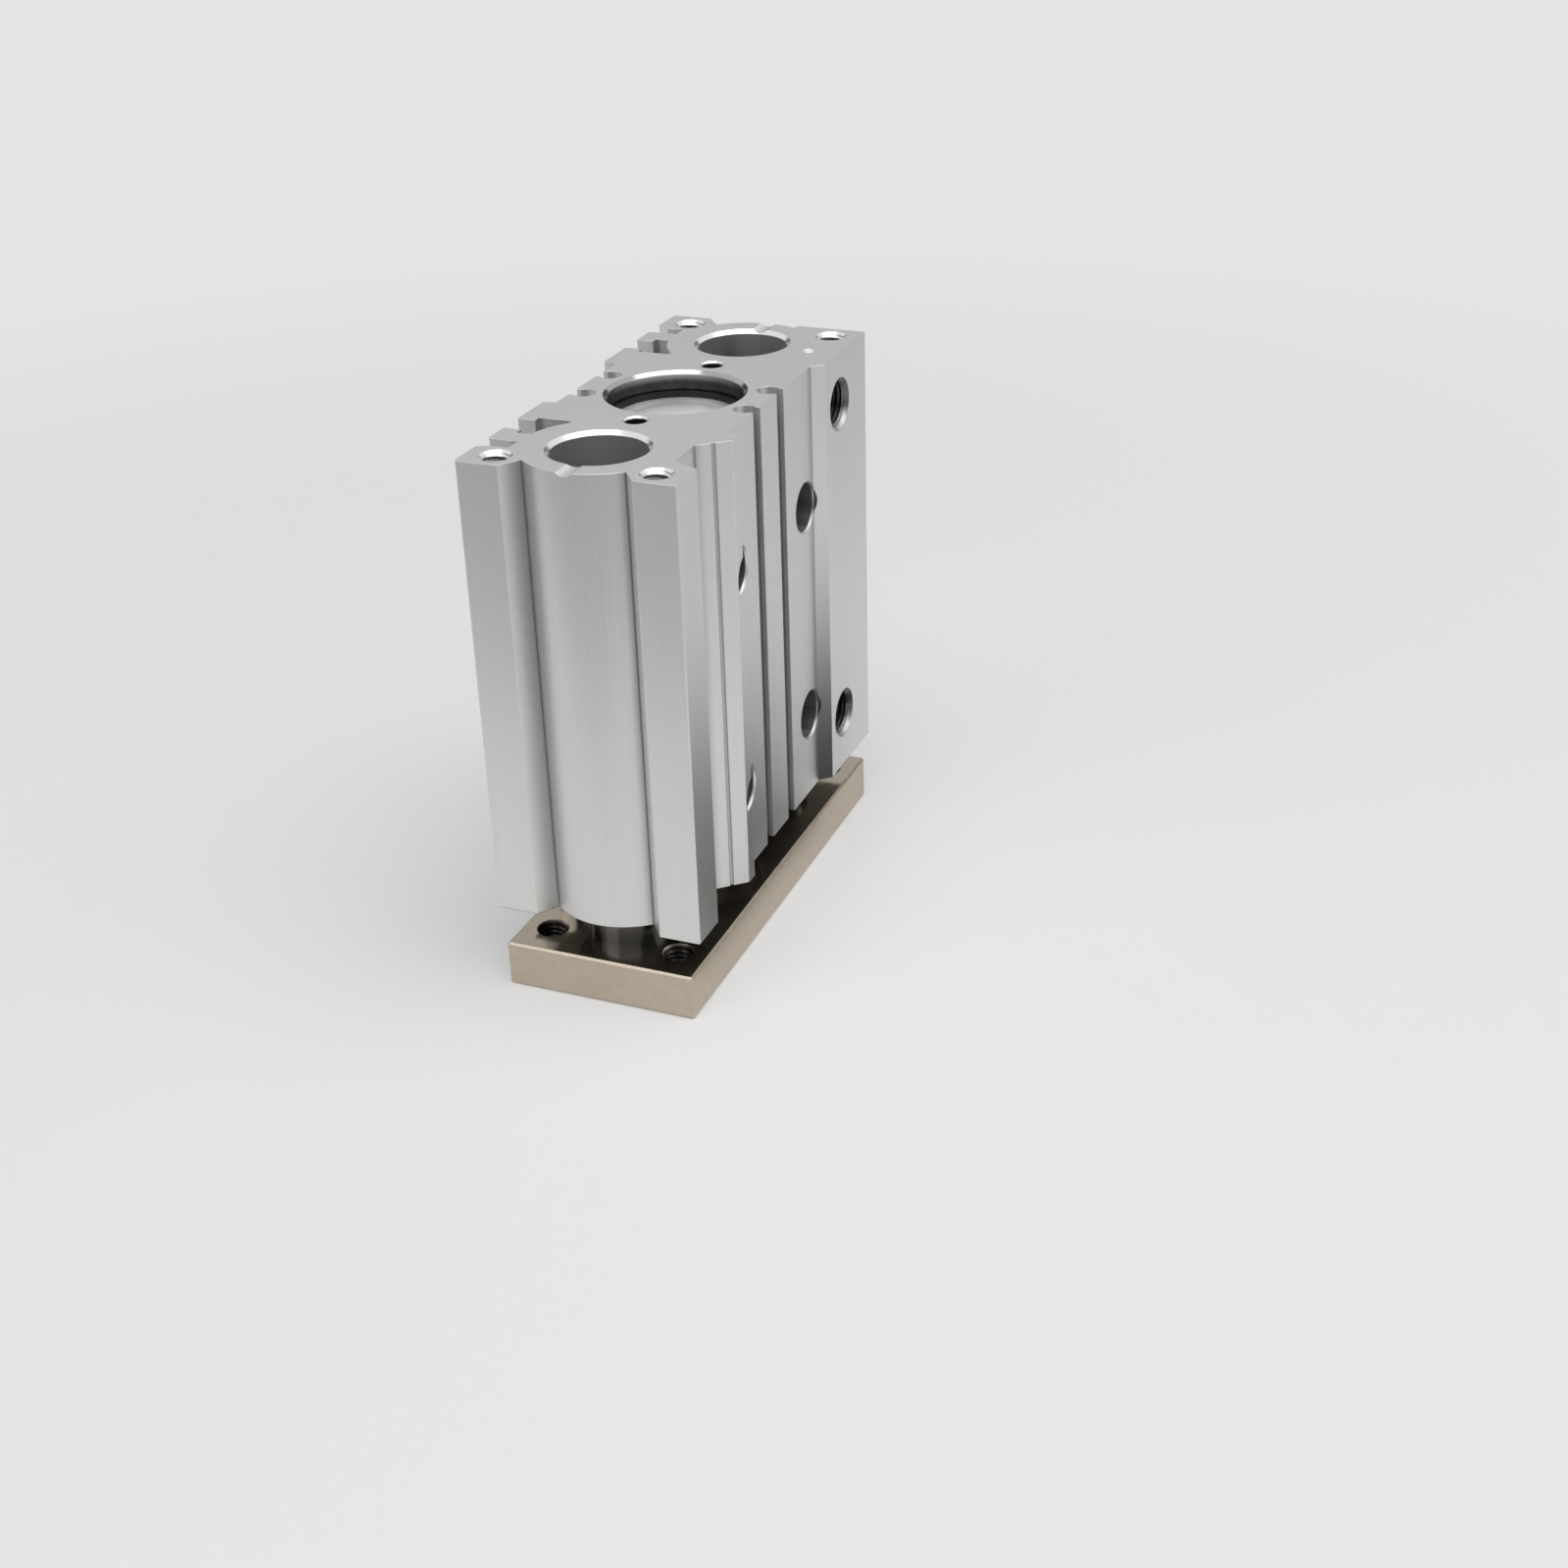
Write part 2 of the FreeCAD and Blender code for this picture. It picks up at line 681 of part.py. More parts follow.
def end_plate():
    """Nickel plated steel plate: bolts sunk in its outer face, load threads at its corners."""
    plate = Part.makeBox(plate_w, plate_d, plate_t, V(-plate_w / 2, -plate_d / 2, 0))
    plate = plate.makeChamfer(plate_chamfer, plate.Edges)
    cutters = []
    for side_x in (-1, 1):
        for side_y in (-1, 1):
            x = side_x * (plate_w / 2 - plate_thread_inset_x)
            y = side_y * (plate_d / 2 - plate_thread_inset_y)
            cutters.append(rod_z(x, y, -past, plate_t + past, m6_tap_r))
            cutters.append(flare(V(x, y, 0), V(0, 0, 1), m6_tap_r, plate_thread_chamfer))
            cutters.append(flare(V(x, y, plate_t), V(0, 0, -1), m6_tap_r, plate_thread_chamfer))
        x = side_x * guide_x
        seat = bolt_head_sink + guide_bolt_head_t
        cutters.append(rod_z(x, 0, -past, seat, guide_bolt_head_r + bolt_head_side_gap))
        cutters.append(rod_z(x, 0, -past, plate_t + past, guide_bolt_d / 2 + bolt_clear))
    seat = bolt_head_sink + rod_bolt_head_t
    cutters.append(rod_z(0, 0, -past, seat, rod_bolt_head_r + bolt_head_side_gap))
    cutters.append(rod_z(0, 0, -past, plate_t + past, rod_bolt_d / 2 + bolt_clear))
    return plate.cut(cutters)


def socket_bolt(x, shank_d, head_r, head_t, hex_flats, reach):
    """Low head socket bolt, head down in the plate, shank reaching into the rod above."""
    head = rod_z(x, 0, bolt_head_sink, bolt_head_sink + head_t, head_r)
    head = head.makeChamfer(plate_chamfer, [head.Edges[0], head.Edges[2]])
    shank = rod_z(x, 0, bolt_head_sink + head_t - plate_chamfer, plate_t + reach, shank_d / 2)
    socket = hexagon(V(x, 0, bolt_head_sink - past), V(0, 0, 1), hex_flats,
                     past + head_t * hex_depth_share)
    return head.fuse(shank).cut(socket).removeSplitter()


def rod_bolt():
    return socket_bolt(0, rod_bolt_d, rod_bolt_head_r, rod_bolt_head_t, rod_bolt_hex,
                       rod_bolt_reach)


def guide_bolts():
    """The two bolts under the guide rods, as separate solids."""
    return Part.makeCompound([
        socket_bolt(side * guide_x, guide_bolt_d, guide_bolt_head_r, guide_bolt_head_t,
                    guide_bolt_hex, guide_bolt_reach)
        for side in (-1, 1)
    ])


def piston_rod():
    """Rod from the plate to the piston, with a tapped foot and a spigot peened over on top."""
    peen_z0 = piston_z1 - peen_pocket_depth
    spigot_r = spigot_d / 2
    profile = [(0, plate_t), (rod_r, plate_t), (rod_r, piston_z0), (spigot_r, piston_z0),
               (spigot_r, peen_z0), (peen_r, peen_z0), (peen_r, peen_z0 + peen_t),
               (0, peen_z0 + peen_t)]
    hole = rod_z(0, 0, plate_t - past, plate_t + rod_bolt_reach + tap_extra_depth,
                 rod_bolt_d / 2 + thread_gap)
    return turned(profile).cut(hole)


def guide_rod(x):
    """Hard chromed guide rod with a tapped foot and a chamfered free end."""
    profile = [(0, plate_t), (guide_r, plate_t), (guide_r, guide_top_z - guide_top_chamfer),
               (guide_r - guide_top_chamfer, guide_top_z), (0, guide_top_z)]
    hole = rod_z(x, 0, plate_t - past, plate_t + guide_bolt_reach + tap_extra_depth,
                 guide_bolt_d / 2 + thread_gap)
    return turned(profile, x).cut(hole)


def seal_groove_z():
    return piston_z1 - piston_seal_land - piston_seal_h


def piston():
    """Piston with a seal groove, a step that carries the magnet, and a pocket for the peen."""
    outer_r = bore_r - piston_gap
    magnet_r = outer_r - magnet_wall
    groove_r = outer_r - piston_seal_wall
    spigot_r = spigot_d / 2 + seat_gap
    pocket_r = peen_r + peen_pocket_gap
    seal_z = seal_groove_z()
    profile = [
        (spigot_r, piston_z0),
        (magnet_r, piston_z0),
        (magnet_r, piston_z0 + magnet_t),
        (outer_r, piston_z0 + magnet_t),
        (outer_r, seal_z),
        (groove_r, seal_z),
        (groove_r, seal_z + piston_seal_h),
        (outer_r, seal_z + piston_seal_h),
        (outer_r, piston_z1),
        (pocket_r, piston_z1),
        (pocket_r, piston_z1 - peen_pocket_depth),
        (spigot_r, piston_z1 - peen_pocket_depth),
    ]
    return turned(profile)


def piston_seal():
    z0 = seal_groove_z() + seat_gap
    inner_r = bore_r - piston_gap - piston_seal_wall + seat_gap
    return lip_ring(inner_r, bore_r - seal_gap, z0, z0 + piston_seal_h - 2 * seat_gap, True)


def magnet_ring():
    outer_r = bore_r - piston_gap
    return tube(outer_r - magnet_wall + seat_gap, outer_r, piston_z0, piston_z0 + magnet_t)


def rod_side_bumper():
    return tube(rod_r + bumper_inner_gap, bore_r - rod_bumper_inset,
                piston_z0 - bumper_t, piston_z0)


def head_side_bumper():
    return tube(peen_r + peen_pocket_gap, bore_r - head_bumper_inset,
                piston_z1, piston_z1 + bumper_t)


nodes = {
    "cylinder_body": cylinder_body(),
    "head_cover": head_cover(),
    "head_cover_gasket": cord_ring(cover_groove_z()),
    "head_snap_ring": eared_snap_ring(cover_z1, head_ring_gap_deg),
    "rod_collar": rod_collar(),
    "collar_gasket": cord_ring(collar_groove_z()),
    "rod_seal": rod_seal(),
    "rod_snap_ring": eared_snap_ring(collar_z0 - ring_t, rod_ring_gap_deg),
    "port_plugs": port_plugs(),
    "passage_ball": passage_ball(),
    "end_plate": end_plate(),
    "rod_bolt": rod_bolt(),
    "guide_bolts": guide_bolts(),
    "piston_rod": piston_rod(),
    "piston": piston(),
    "piston_seal": piston_seal(),
    "magnet_ring": magnet_ring(),
    "rod_side_bumper": rod_side_bumper(),
    "head_side_bumper": head_side_bumper(),
}
for name, side in (("left", -1), ("right", 1)):
    nodes["slide_bearing_" + name] = slide_bearing(side * guide_x)
    nodes["felt_wiper_" + name] = felt_wiper(side * guide_x)
    nodes["felt_holder_" + name] = felt_holder(side * guide_x)
    nodes["guide_snap_ring_" + name] = guide_snap_ring(side * guide_x)
    nodes["guide_rod_" + name] = guide_rod(side * guide_x)

for name, shape in nodes.items():
    shape.exportStep(os.path.join("parts", name + ".step"))
    print(name, "solids", len(shape.Solids), "valid", shape.isValid(), "mm3", round(shape.Volume, 1))
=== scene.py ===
"""Finishes, thread detail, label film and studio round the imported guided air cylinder.

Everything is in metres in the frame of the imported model: origin at the centre of the end
plate's outer face, +Z along the rods, -X the label end, -Y the switch side.
"""

import json
import math

import bmesh
import bpy
import numpy as np
from mathutils import Euler, Matrix, Vector


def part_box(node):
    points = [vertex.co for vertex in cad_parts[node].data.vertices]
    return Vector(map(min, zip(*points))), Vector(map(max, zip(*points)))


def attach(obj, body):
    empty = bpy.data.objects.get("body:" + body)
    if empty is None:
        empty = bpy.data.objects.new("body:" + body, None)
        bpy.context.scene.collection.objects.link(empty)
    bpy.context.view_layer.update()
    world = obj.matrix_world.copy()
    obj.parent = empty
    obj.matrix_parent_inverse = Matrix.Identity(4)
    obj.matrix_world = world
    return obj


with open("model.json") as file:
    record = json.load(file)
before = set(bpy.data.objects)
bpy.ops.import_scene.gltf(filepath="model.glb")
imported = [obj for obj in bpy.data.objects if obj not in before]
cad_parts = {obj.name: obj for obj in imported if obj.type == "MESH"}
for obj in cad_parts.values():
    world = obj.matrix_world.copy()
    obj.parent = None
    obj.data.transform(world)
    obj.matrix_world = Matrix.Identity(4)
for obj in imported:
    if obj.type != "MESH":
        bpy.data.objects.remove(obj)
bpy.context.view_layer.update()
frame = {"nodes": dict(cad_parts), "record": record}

bl_info = {
    "name": "Guided cylinder finishes",
    "version": (1, 0, 0),
    "blender": (4, 5, 0),
    "location": "View3D > Sidebar > Cylinder",
    "description": "Finishes a packed guided air cylinder and sets it on a studio floor",
    "category": "Object",
}

MM = 0.001

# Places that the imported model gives
BODY_LOW, BODY_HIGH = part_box("cylinder_body")
PLATE_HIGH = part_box("end_plate")[1]
COVER_LOW, COVER_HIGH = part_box("head_cover")
ROD_LOW, ROD_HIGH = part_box("guide_rod_left")
BALL_LOW, BALL_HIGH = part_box("passage_ball")
MOUNTS = {mount["name"]: mount for mount in frame["record"]["mounts"]}
BORE_R = (COVER_HIGH.x - COVER_LOW.x) / 2
GUIDE_X = abs(ROD_LOW.x + ROD_HIGH.x) / 2
GUIDE_CLEARANCE = 0.6 * MM
GUIDE_BORE_R = (ROD_HIGH.x - ROD_LOW.x) / 2 + GUIDE_CLEARANCE
BALL_R = (BALL_HIGH.x - BALL_LOW.x) / 2
BALL_PLACE = ((BALL_LOW.x + BALL_HIGH.x) / 2, (BALL_LOW.y + BALL_HIGH.y) / 2)
HEAD_Z = BODY_HIGH.z
HALF_W = BODY_HIGH.x
HALF_D = BODY_HIGH.y

# Sizes of the profile and of its holes and rims that the boxes don't give
LOBE_FACE_R = 14.5 * MM
LOBE_FACE_X = HALF_W - LOBE_FACE_R
LOBE_NOTCH_Y = 9.7 * MM
LOBE_NOTCH_X = LOBE_FACE_X + math.sqrt(LOBE_FACE_R ** 2 - LOBE_NOTCH_Y ** 2)
BOLT_SEAT_R = 4.75 * MM
PORT_R = 4.4 * MM
TAPPED_R = 2.5 * MM
TAPPED_CHAMFER = 0.5 * MM
TAPPED_DEPTH = 10 * MM
TAPPED_RIM = 0.65 * MM
PORT_RIM = 0.95 * MM
SEAT_RIM = 0.6 * MM
RIM_DEPTH = 1.0 * MM
DOWEL_R = 2.0 * MM
RING_GROOVE = 0.9 * MM
BORE_CHAMFER = 0.55 * MM
END_CHAMFER_REACH = 1.2 * MM
SLOT_X = 25.0 * MM
SLOT_WIDTH = 8.4 * MM
SLOT_FLOOR_Y = 10.0 * MM
SLOT_NECK_Y = HALF_D - 3.4 * MM
SWITCH_X = 5.6 * MM
SWITCH_R = 2.15 * MM
SWITCH_Y = (-16.05 * MM, 15.75 * MM)
STEP_X = 21.2 * MM
STEP_WIDTH = 2.0 * MM
STEP_DEPTH = 2.2 * MM
SCRIBE = (-24.2 * MM, -17.9 * MM)
NOTCH_X = 41.6 * MM
NOTCH_Y = 6.0 * MM

# Inner corners of the profile, seen along the rods, where light hardly reaches
LOBE_CREASE = (-LOBE_NOTCH_X, LOBE_NOTCH_Y)
CREASES = [LOBE_CREASE, (-LOBE_NOTCH_X, -LOBE_NOTCH_Y), (LOBE_NOTCH_X, LOBE_NOTCH_Y)]
CREASES += [(x * MM, y * MM) for x, y in (
    (44.1, -6.2), (-34.2, -15.3), (-26.5, -15.3), (-18.1, -18.3), (-36.8, 14.8), (-33.4, 14.8),
    (36.8, 14.8), (33.4, 14.8), (-12.1, 18.0), (12.1, 18.0))]

# Threads: how far a ridge runs on into the chamfer, how deep its foot lies in the wall, and
# where the ridges of the ports and of the plate start
THREAD_RUN_OUT = 0.15 * MM
THREAD_SINK = 0.03 * MM
PORT_THREAD_START = 0.9 * MM
PORT_THREAD_LENGTH = 6.8 * MM
PLATE_THREAD_START = 0.6 * MM

# Softness of the edges of masks, and of the edges of pieces as the light shows them
MASK_BLUR = 0.05 * MM
PLATE_EDGE = 0.15 * MM
SMALL_EDGE = 0.12 * MM

# Label film: corner radius, and how far its inner sheet stands off the lobe
FILM_CORNER = 1.0 * MM
FILM_INNER = 0.01 * MM

# Colours that no setting changes
# Painted shade inside the end plate's tapped holes
PAINTED_HOLE_SHADE = (0.03, 0.03, 0.03)
# Painted shade on the rods just over the plate's top
PAINTED_FOOT_SHADE = (0.05, 0.055, 0.065)
PLUG_STEEL = (0.50, 0.50, 0.51)
# Painted sheen: the steel ball gets a near white, hardly metallic colour
BALL_PAINTED_SHEEN = (0.97, 0.97, 0.97)
BRONZE_PORES = (0.12, 0.09, 0.06)
MAGNET = (0.10, 0.10, 0.105)
MAGNET_SPECK = (0.05, 0.05, 0.05)
RUBBER = (0.028, 0.028, 0.03)
RUBBER_SPECK = (0.05, 0.05, 0.052)
URETHANE = (0.42, 0.30, 0.13)
URETHANE_SPECK = (0.50, 0.38, 0.20)
FELT = (0.50, 0.47, 0.42)
FELT_SPECK = (0.30, 0.28, 0.25)

# Studio, in metres and watts. Cards lie on the floor by their corners (x, y); a lamp has its
# place, width, height, power and colour, and all of them aim at one point.
CARDS = {
    "near_card": ((-1.0, -0.7), (-0.17, -0.7), (-0.17, 0.7), (-1.0, 0.7)),
    "side_card": ((0.06, -0.8), (0.9, -0.8), (0.9, -0.09), (0.06, -0.09)),
    "low_card": ((0.0, -0.085), (0.115, -0.085), (0.03, -0.026), (-0.035, -0.026)),
}
CARD_HEIGHT = 1.0 * MM
LAMPS = {
    "overhead_lamp": ((-0.25, -0.35, 1.25), 1.6, 1.2, 13.8, (1, 1, 1)),
    "left_lamp": ((-1.0, 0.55, 0.75), 0.7, 0.7, 1.5, (1, 0.99, 0.98)),
    "right_lamp": ((0.35, -1.1, 0.75), 0.7, 0.7, 0.8, (1, 1, 1)),
}
LAMP_AIM = (0, 0, 0.05)
ROOM_SIDES = 48
# The floor turns into the backdrop between two distances, from a least share on
BLEND_NEAR, BLEND_FAR, BLEND_LEAST = 0.12, 0.60, 0.25
# Pairs of upward direction and brightness
SKY_LEVELS = ((0.0, 0.45), (0.8, 1.0))
SKY_STRENGTH = 0.40
SENSOR_WIDTH = 36.0


def mount_holes(name):
    """Centres (x, y, z) of the holes that a mount of the record names."""
    mount = MOUNTS[name]
    centre = np.array(mount["pos_m"], float)
    dims = mount["dims"]
    if "spacing_x_mm" not in dims:
        return [tuple(centre)]
    across = np.array([1.0, 0.0, 0.0])
    along = np.array([0.0, 1.0, 0.0]) if abs(mount["axis"][2]) > 0.5 else np.array([0.0, 0.0, 1.0])
    holes = []
    for side in (-1, 1):
        for level in (-1, 1):
            step = side * across * dims["spacing_x_mm"] + level * along * dims["spacing_y_mm"]
            holes.append(tuple(centre + step * MM / 2))
    return holes


class BarrelFinish(bpy.types.PropertyGroup):
    colour: bpy.props.FloatVectorProperty(
        name="Barrel colour", description="Clear anodised sides of the extrusion",
        default=(0.77, 0.765, 0.75), size=3, min=0.0, max=1.0, subtype="COLOR")
    milled_colour: bpy.props.FloatVectorProperty(
        name="Milled colour", description="Milled end faces of the extrusion",
        default=(0.645, 0.645, 0.63), size=3, min=0.0, max=1.0, subtype="COLOR")
    bright_colour: bpy.props.FloatVectorProperty(
        name="Bright cut colour", description="Chamfers cut after anodising",
        default=(0.90, 0.90, 0.89), size=3, min=0.0, max=1.0, subtype="COLOR")
    bored_colour: bpy.props.FloatVectorProperty(
        name="Bored colour", description="Walls of the bores, ports and counterbores",
        default=(0.68, 0.68, 0.67), size=3, min=0.0, max=1.0, subtype="COLOR")
    # Painted shade, not oil: this colour darkens the holes, slots, inner corners, underside and
    # threads
    painted_shade_colour: bpy.props.FloatVectorProperty(
        name="Painted shade colour", description="Oily depth of the holes, slots and inner corners",
        default=(0.03, 0.03, 0.03), size=3, min=0.0, max=1.0, subtype="COLOR")
    line_spacing: bpy.props.FloatProperty(
        name="Line spacing", description="Typical distance between the fine lines of the extrusion",
        default=0.35 * MM, min=0.05 * MM, max=5 * MM, unit="LENGTH")
    edge_radius: bpy.props.FloatProperty(
        name="Edge radius", description="Softness of the edges as the light shows them",
        default=0.22 * MM, min=0.0, max=2 * MM, unit="LENGTH")


class MetalFinish(bpy.types.PropertyGroup):
    nickel: bpy.props.FloatVectorProperty(
        name="Nickel colour", description="Warm nickel plating of the end plate",
        default=(0.565, 0.49, 0.39), size=3, min=0.0, max=1.0, subtype="COLOR")
    chrome: bpy.props.FloatVectorProperty(
        name="Chrome colour", description="Ground and chromed rods",
        default=(0.46, 0.47, 0.485), size=3, min=0.0, max=1.0, subtype="COLOR")
    turned: bpy.props.FloatVectorProperty(
        name="Turned colour", description="Turned aluminium covers and piston",
        default=(0.75, 0.75, 0.74), size=3, min=0.0, max=1.0, subtype="COLOR")
    spring: bpy.props.FloatVectorProperty(
        name="Ring colour", description="Phosphated snap rings",
        default=(0.025, 0.025, 0.028), size=3, min=0.0, max=1.0, subtype="COLOR")
    bolt: bpy.props.FloatVectorProperty(
        name="Bolt colour", description="Black oxide of the socket bolts",
        default=(0.05, 0.05, 0.055), size=3, min=0.0, max=1.0, subtype="COLOR")
    bronze: bpy.props.FloatVectorProperty(
        name="Bronze colour", description="Sintered bronze slide bearings",
        default=(0.55, 0.38, 0.20), size=3, min=0.0, max=1.0, subtype="COLOR")


class DetailSizes(bpy.types.PropertyGroup):
    metric_pitch: bpy.props.FloatProperty(
        name="Screw thread pitch", description="Rise of each turn in the M6 holes",
        default=1.0 * MM, min=0.2 * MM, max=3 * MM, unit="LENGTH")
    port_pitch: bpy.props.FloatProperty(
        name="Port thread pitch", description="Rise of each turn in the air ports",
        default=0.907 * MM, min=0.2 * MM, max=3 * MM, unit="LENGTH")
    thread_height: bpy.props.FloatProperty(
        name="Thread height", description="How far each turn stands out of the hole's wall",
        default=0.34 * MM, min=0.05 * MM, max=1 * MM, unit="LENGTH")
    label_length: bpy.props.FloatProperty(
        name="Label length", description="Length of the bare label film along the rods",
        default=33.0 * MM, min=1 * MM, max=80 * MM, unit="LENGTH")
    label_width: bpy.props.FloatProperty(
        name="Label width", description="Width of the label film round the lobe",
        default=8.6 * MM, min=1 * MM, max=20 * MM, unit="LENGTH")
    label_middle: bpy.props.FloatProperty(
        name="Label height", description="Height of the label film's middle over the plate's foot",
        default=76.0 * MM, min=0.0, max=200 * MM, unit="LENGTH")
    label_film: bpy.props.FloatProperty(
        name="Film height", description="How far the film's outer sheet stands off the lobe",
        default=0.015 * MM, min=0.01 * MM, max=1 * MM, unit="LENGTH")
    label_colour: bpy.props.FloatVectorProperty(
        name="Label colour", description="Colour of the bare label film",
        default=(0.77, 0.765, 0.755), size=3, min=0.0, max=1.0, subtype="COLOR")


class StageSettings(bpy.types.PropertyGroup):
    floor_colour: bpy.props.FloatVectorProperty(
        name="Floor colour", description="Pale floor under the cylinder",
        default=(0.81, 0.81, 0.815), size=3, min=0.0, max=1.0, subtype="COLOR")
    backdrop_colour: bpy.props.FloatVectorProperty(
        name="Backdrop colour", description="Pale surroundings as the camera sees them",
        default=(0.79, 0.79, 0.80), size=3, min=0.0, max=1.0, subtype="COLOR")
    floor_size: bpy.props.FloatProperty(
        name="Floor size", description="Width of the floor",
        default=8.0, min=1.0, max=50.0, unit="LENGTH")
    room_colour: bpy.props.FloatVectorProperty(
        name="Room colour", description="Dim room round the set, seen only as a reflection",
        default=(0.06, 0.06, 0.06), size=3, min=0.0, max=1.0, subtype="COLOR")
    room_radius: bpy.props.FloatProperty(
        name="Room radius", description="Distance from the cylinder to the room's walls",
        default=1.5, min=0.8, max=20.0, unit="LENGTH")
    room_height: bpy.props.FloatProperty(
        name="Room height", description="Height up to which the room is dim",
        default=0.55, min=0.0, max=5.0, unit="LENGTH")
    near_card: bpy.props.FloatVectorProperty(
        name="Near card", description="Grey card before the set, seen only as a reflection",
        default=(0.40, 0.40, 0.40), size=3, min=0.0, max=1.0, subtype="COLOR")
    side_card: bpy.props.FloatVectorProperty(
        name="Side card", description="Grey card beside the set, seen only as a reflection",
        default=(0.66, 0.66, 0.66), size=3, min=0.0, max=1.0, subtype="COLOR")
    low_card: bpy.props.FloatVectorProperty(
        name="Low card", description="Dark card at the foot, seen only as a reflection",
        default=(0.02, 0.02, 0.02), size=3, min=0.0, max=1.0, subtype="COLOR")
    camera_place: bpy.props.FloatVectorProperty(
        name="Camera place", description="Where the camera stands",
        default=(-0.35009, -0.16292, 0.22608), size=3, subtype="TRANSLATION", unit="LENGTH")
    camera_turn: bpy.props.FloatVectorProperty(
        name="Camera turn", description="Which way the camera looks",
        default=(math.radians(62.1045), math.radians(1.48994), math.radians(-68.46043)),
        size=3, subtype="EULER", unit="ROTATION")
    camera_lens: bpy.props.FloatProperty(
        name="Lens", description="Focal length in millimetres on a 36 mm sensor",
        default=50.204, min=10.0, max=300.0, unit="CAMERA")


class Nodes:
    """Short ways to add and join nodes in one tree."""

    def __init__(self, tree):
        self.tree = tree
        self.tree.nodes.clear()

    def add(self, kind, **settings):
        node = self.tree.nodes.new(kind)
        for key, value in settings.items():
            setattr(node, key, value)
        return node

    def feed(self, socket, value):
        """Joins a socket to another one, or writes a plain value on it."""
        if isinstance(value, bpy.types.NodeSocket):
            self.tree.links.new(value, socket)
        elif hasattr(value, "__len__") and len(value) == 3 and len(socket.default_value) == 4:
            socket.default_value = (*value, 1.0)
        else:
            socket.default_value = value

    def feed_one(self, kind, value, **settings):
        node = self.add(kind, **settings)
        self.feed(node.inputs[0], value)
        return node

    def math(self, operation, *values):
        node = self.add("ShaderNodeMath", operation=operation)
        for socket, value in zip(node.inputs, values):
            self.feed(socket, value)
        return node.outputs[0]

    def total(self, operation, values):
        """Folds several sockets with one operation, such as the largest of many masks."""
        result = values[0]
        for value in values[1:]:
            result = self.math(operation, result, value)
        return result

    def size(self, value):
        """A value without its sign."""
        return self.math("ABSOLUTE", value)

    def ramp(self, value, low, high, start=0.0, end=1.0):
        """Smooth step of value from start at low to end at high."""
        node = self.feed_one("ShaderNodeMapRange", value, interpolation_type="SMOOTHSTEP")
        for index, number in enumerate((low, high, start, end), 1):
            self.feed(node.inputs[index], number)
        return node.outputs[0]

    def split(self, vector):
        return self.feed_one("ShaderNodeSeparateXYZ", vector).outputs

    def shade(self, kind, colour, strength=None):
        """Plain shader of one colour."""
        node = self.add(kind)
        self.feed(node.inputs["Color"], colour)
        if strength is not None:
            node.inputs["Strength"].default_value = strength
        return node.outputs[0]

    def seen(self):
        """One for rays that show a surface, straight, mirrored or through glass."""
        path = self.add("ShaderNodeLightPath").outputs
        return self.total("MAXIMUM", [path["Is Camera Ray"], path["Is Glossy Ray"],
                                      path["Is Transmission Ray"]])

    def mix_shaders(self, factor, first, second):
        node = self.feed_one("ShaderNodeMixShader", factor)
        self.feed(node.inputs[1], first)
        self.feed(node.inputs[2], second)
        return node.outputs[0]


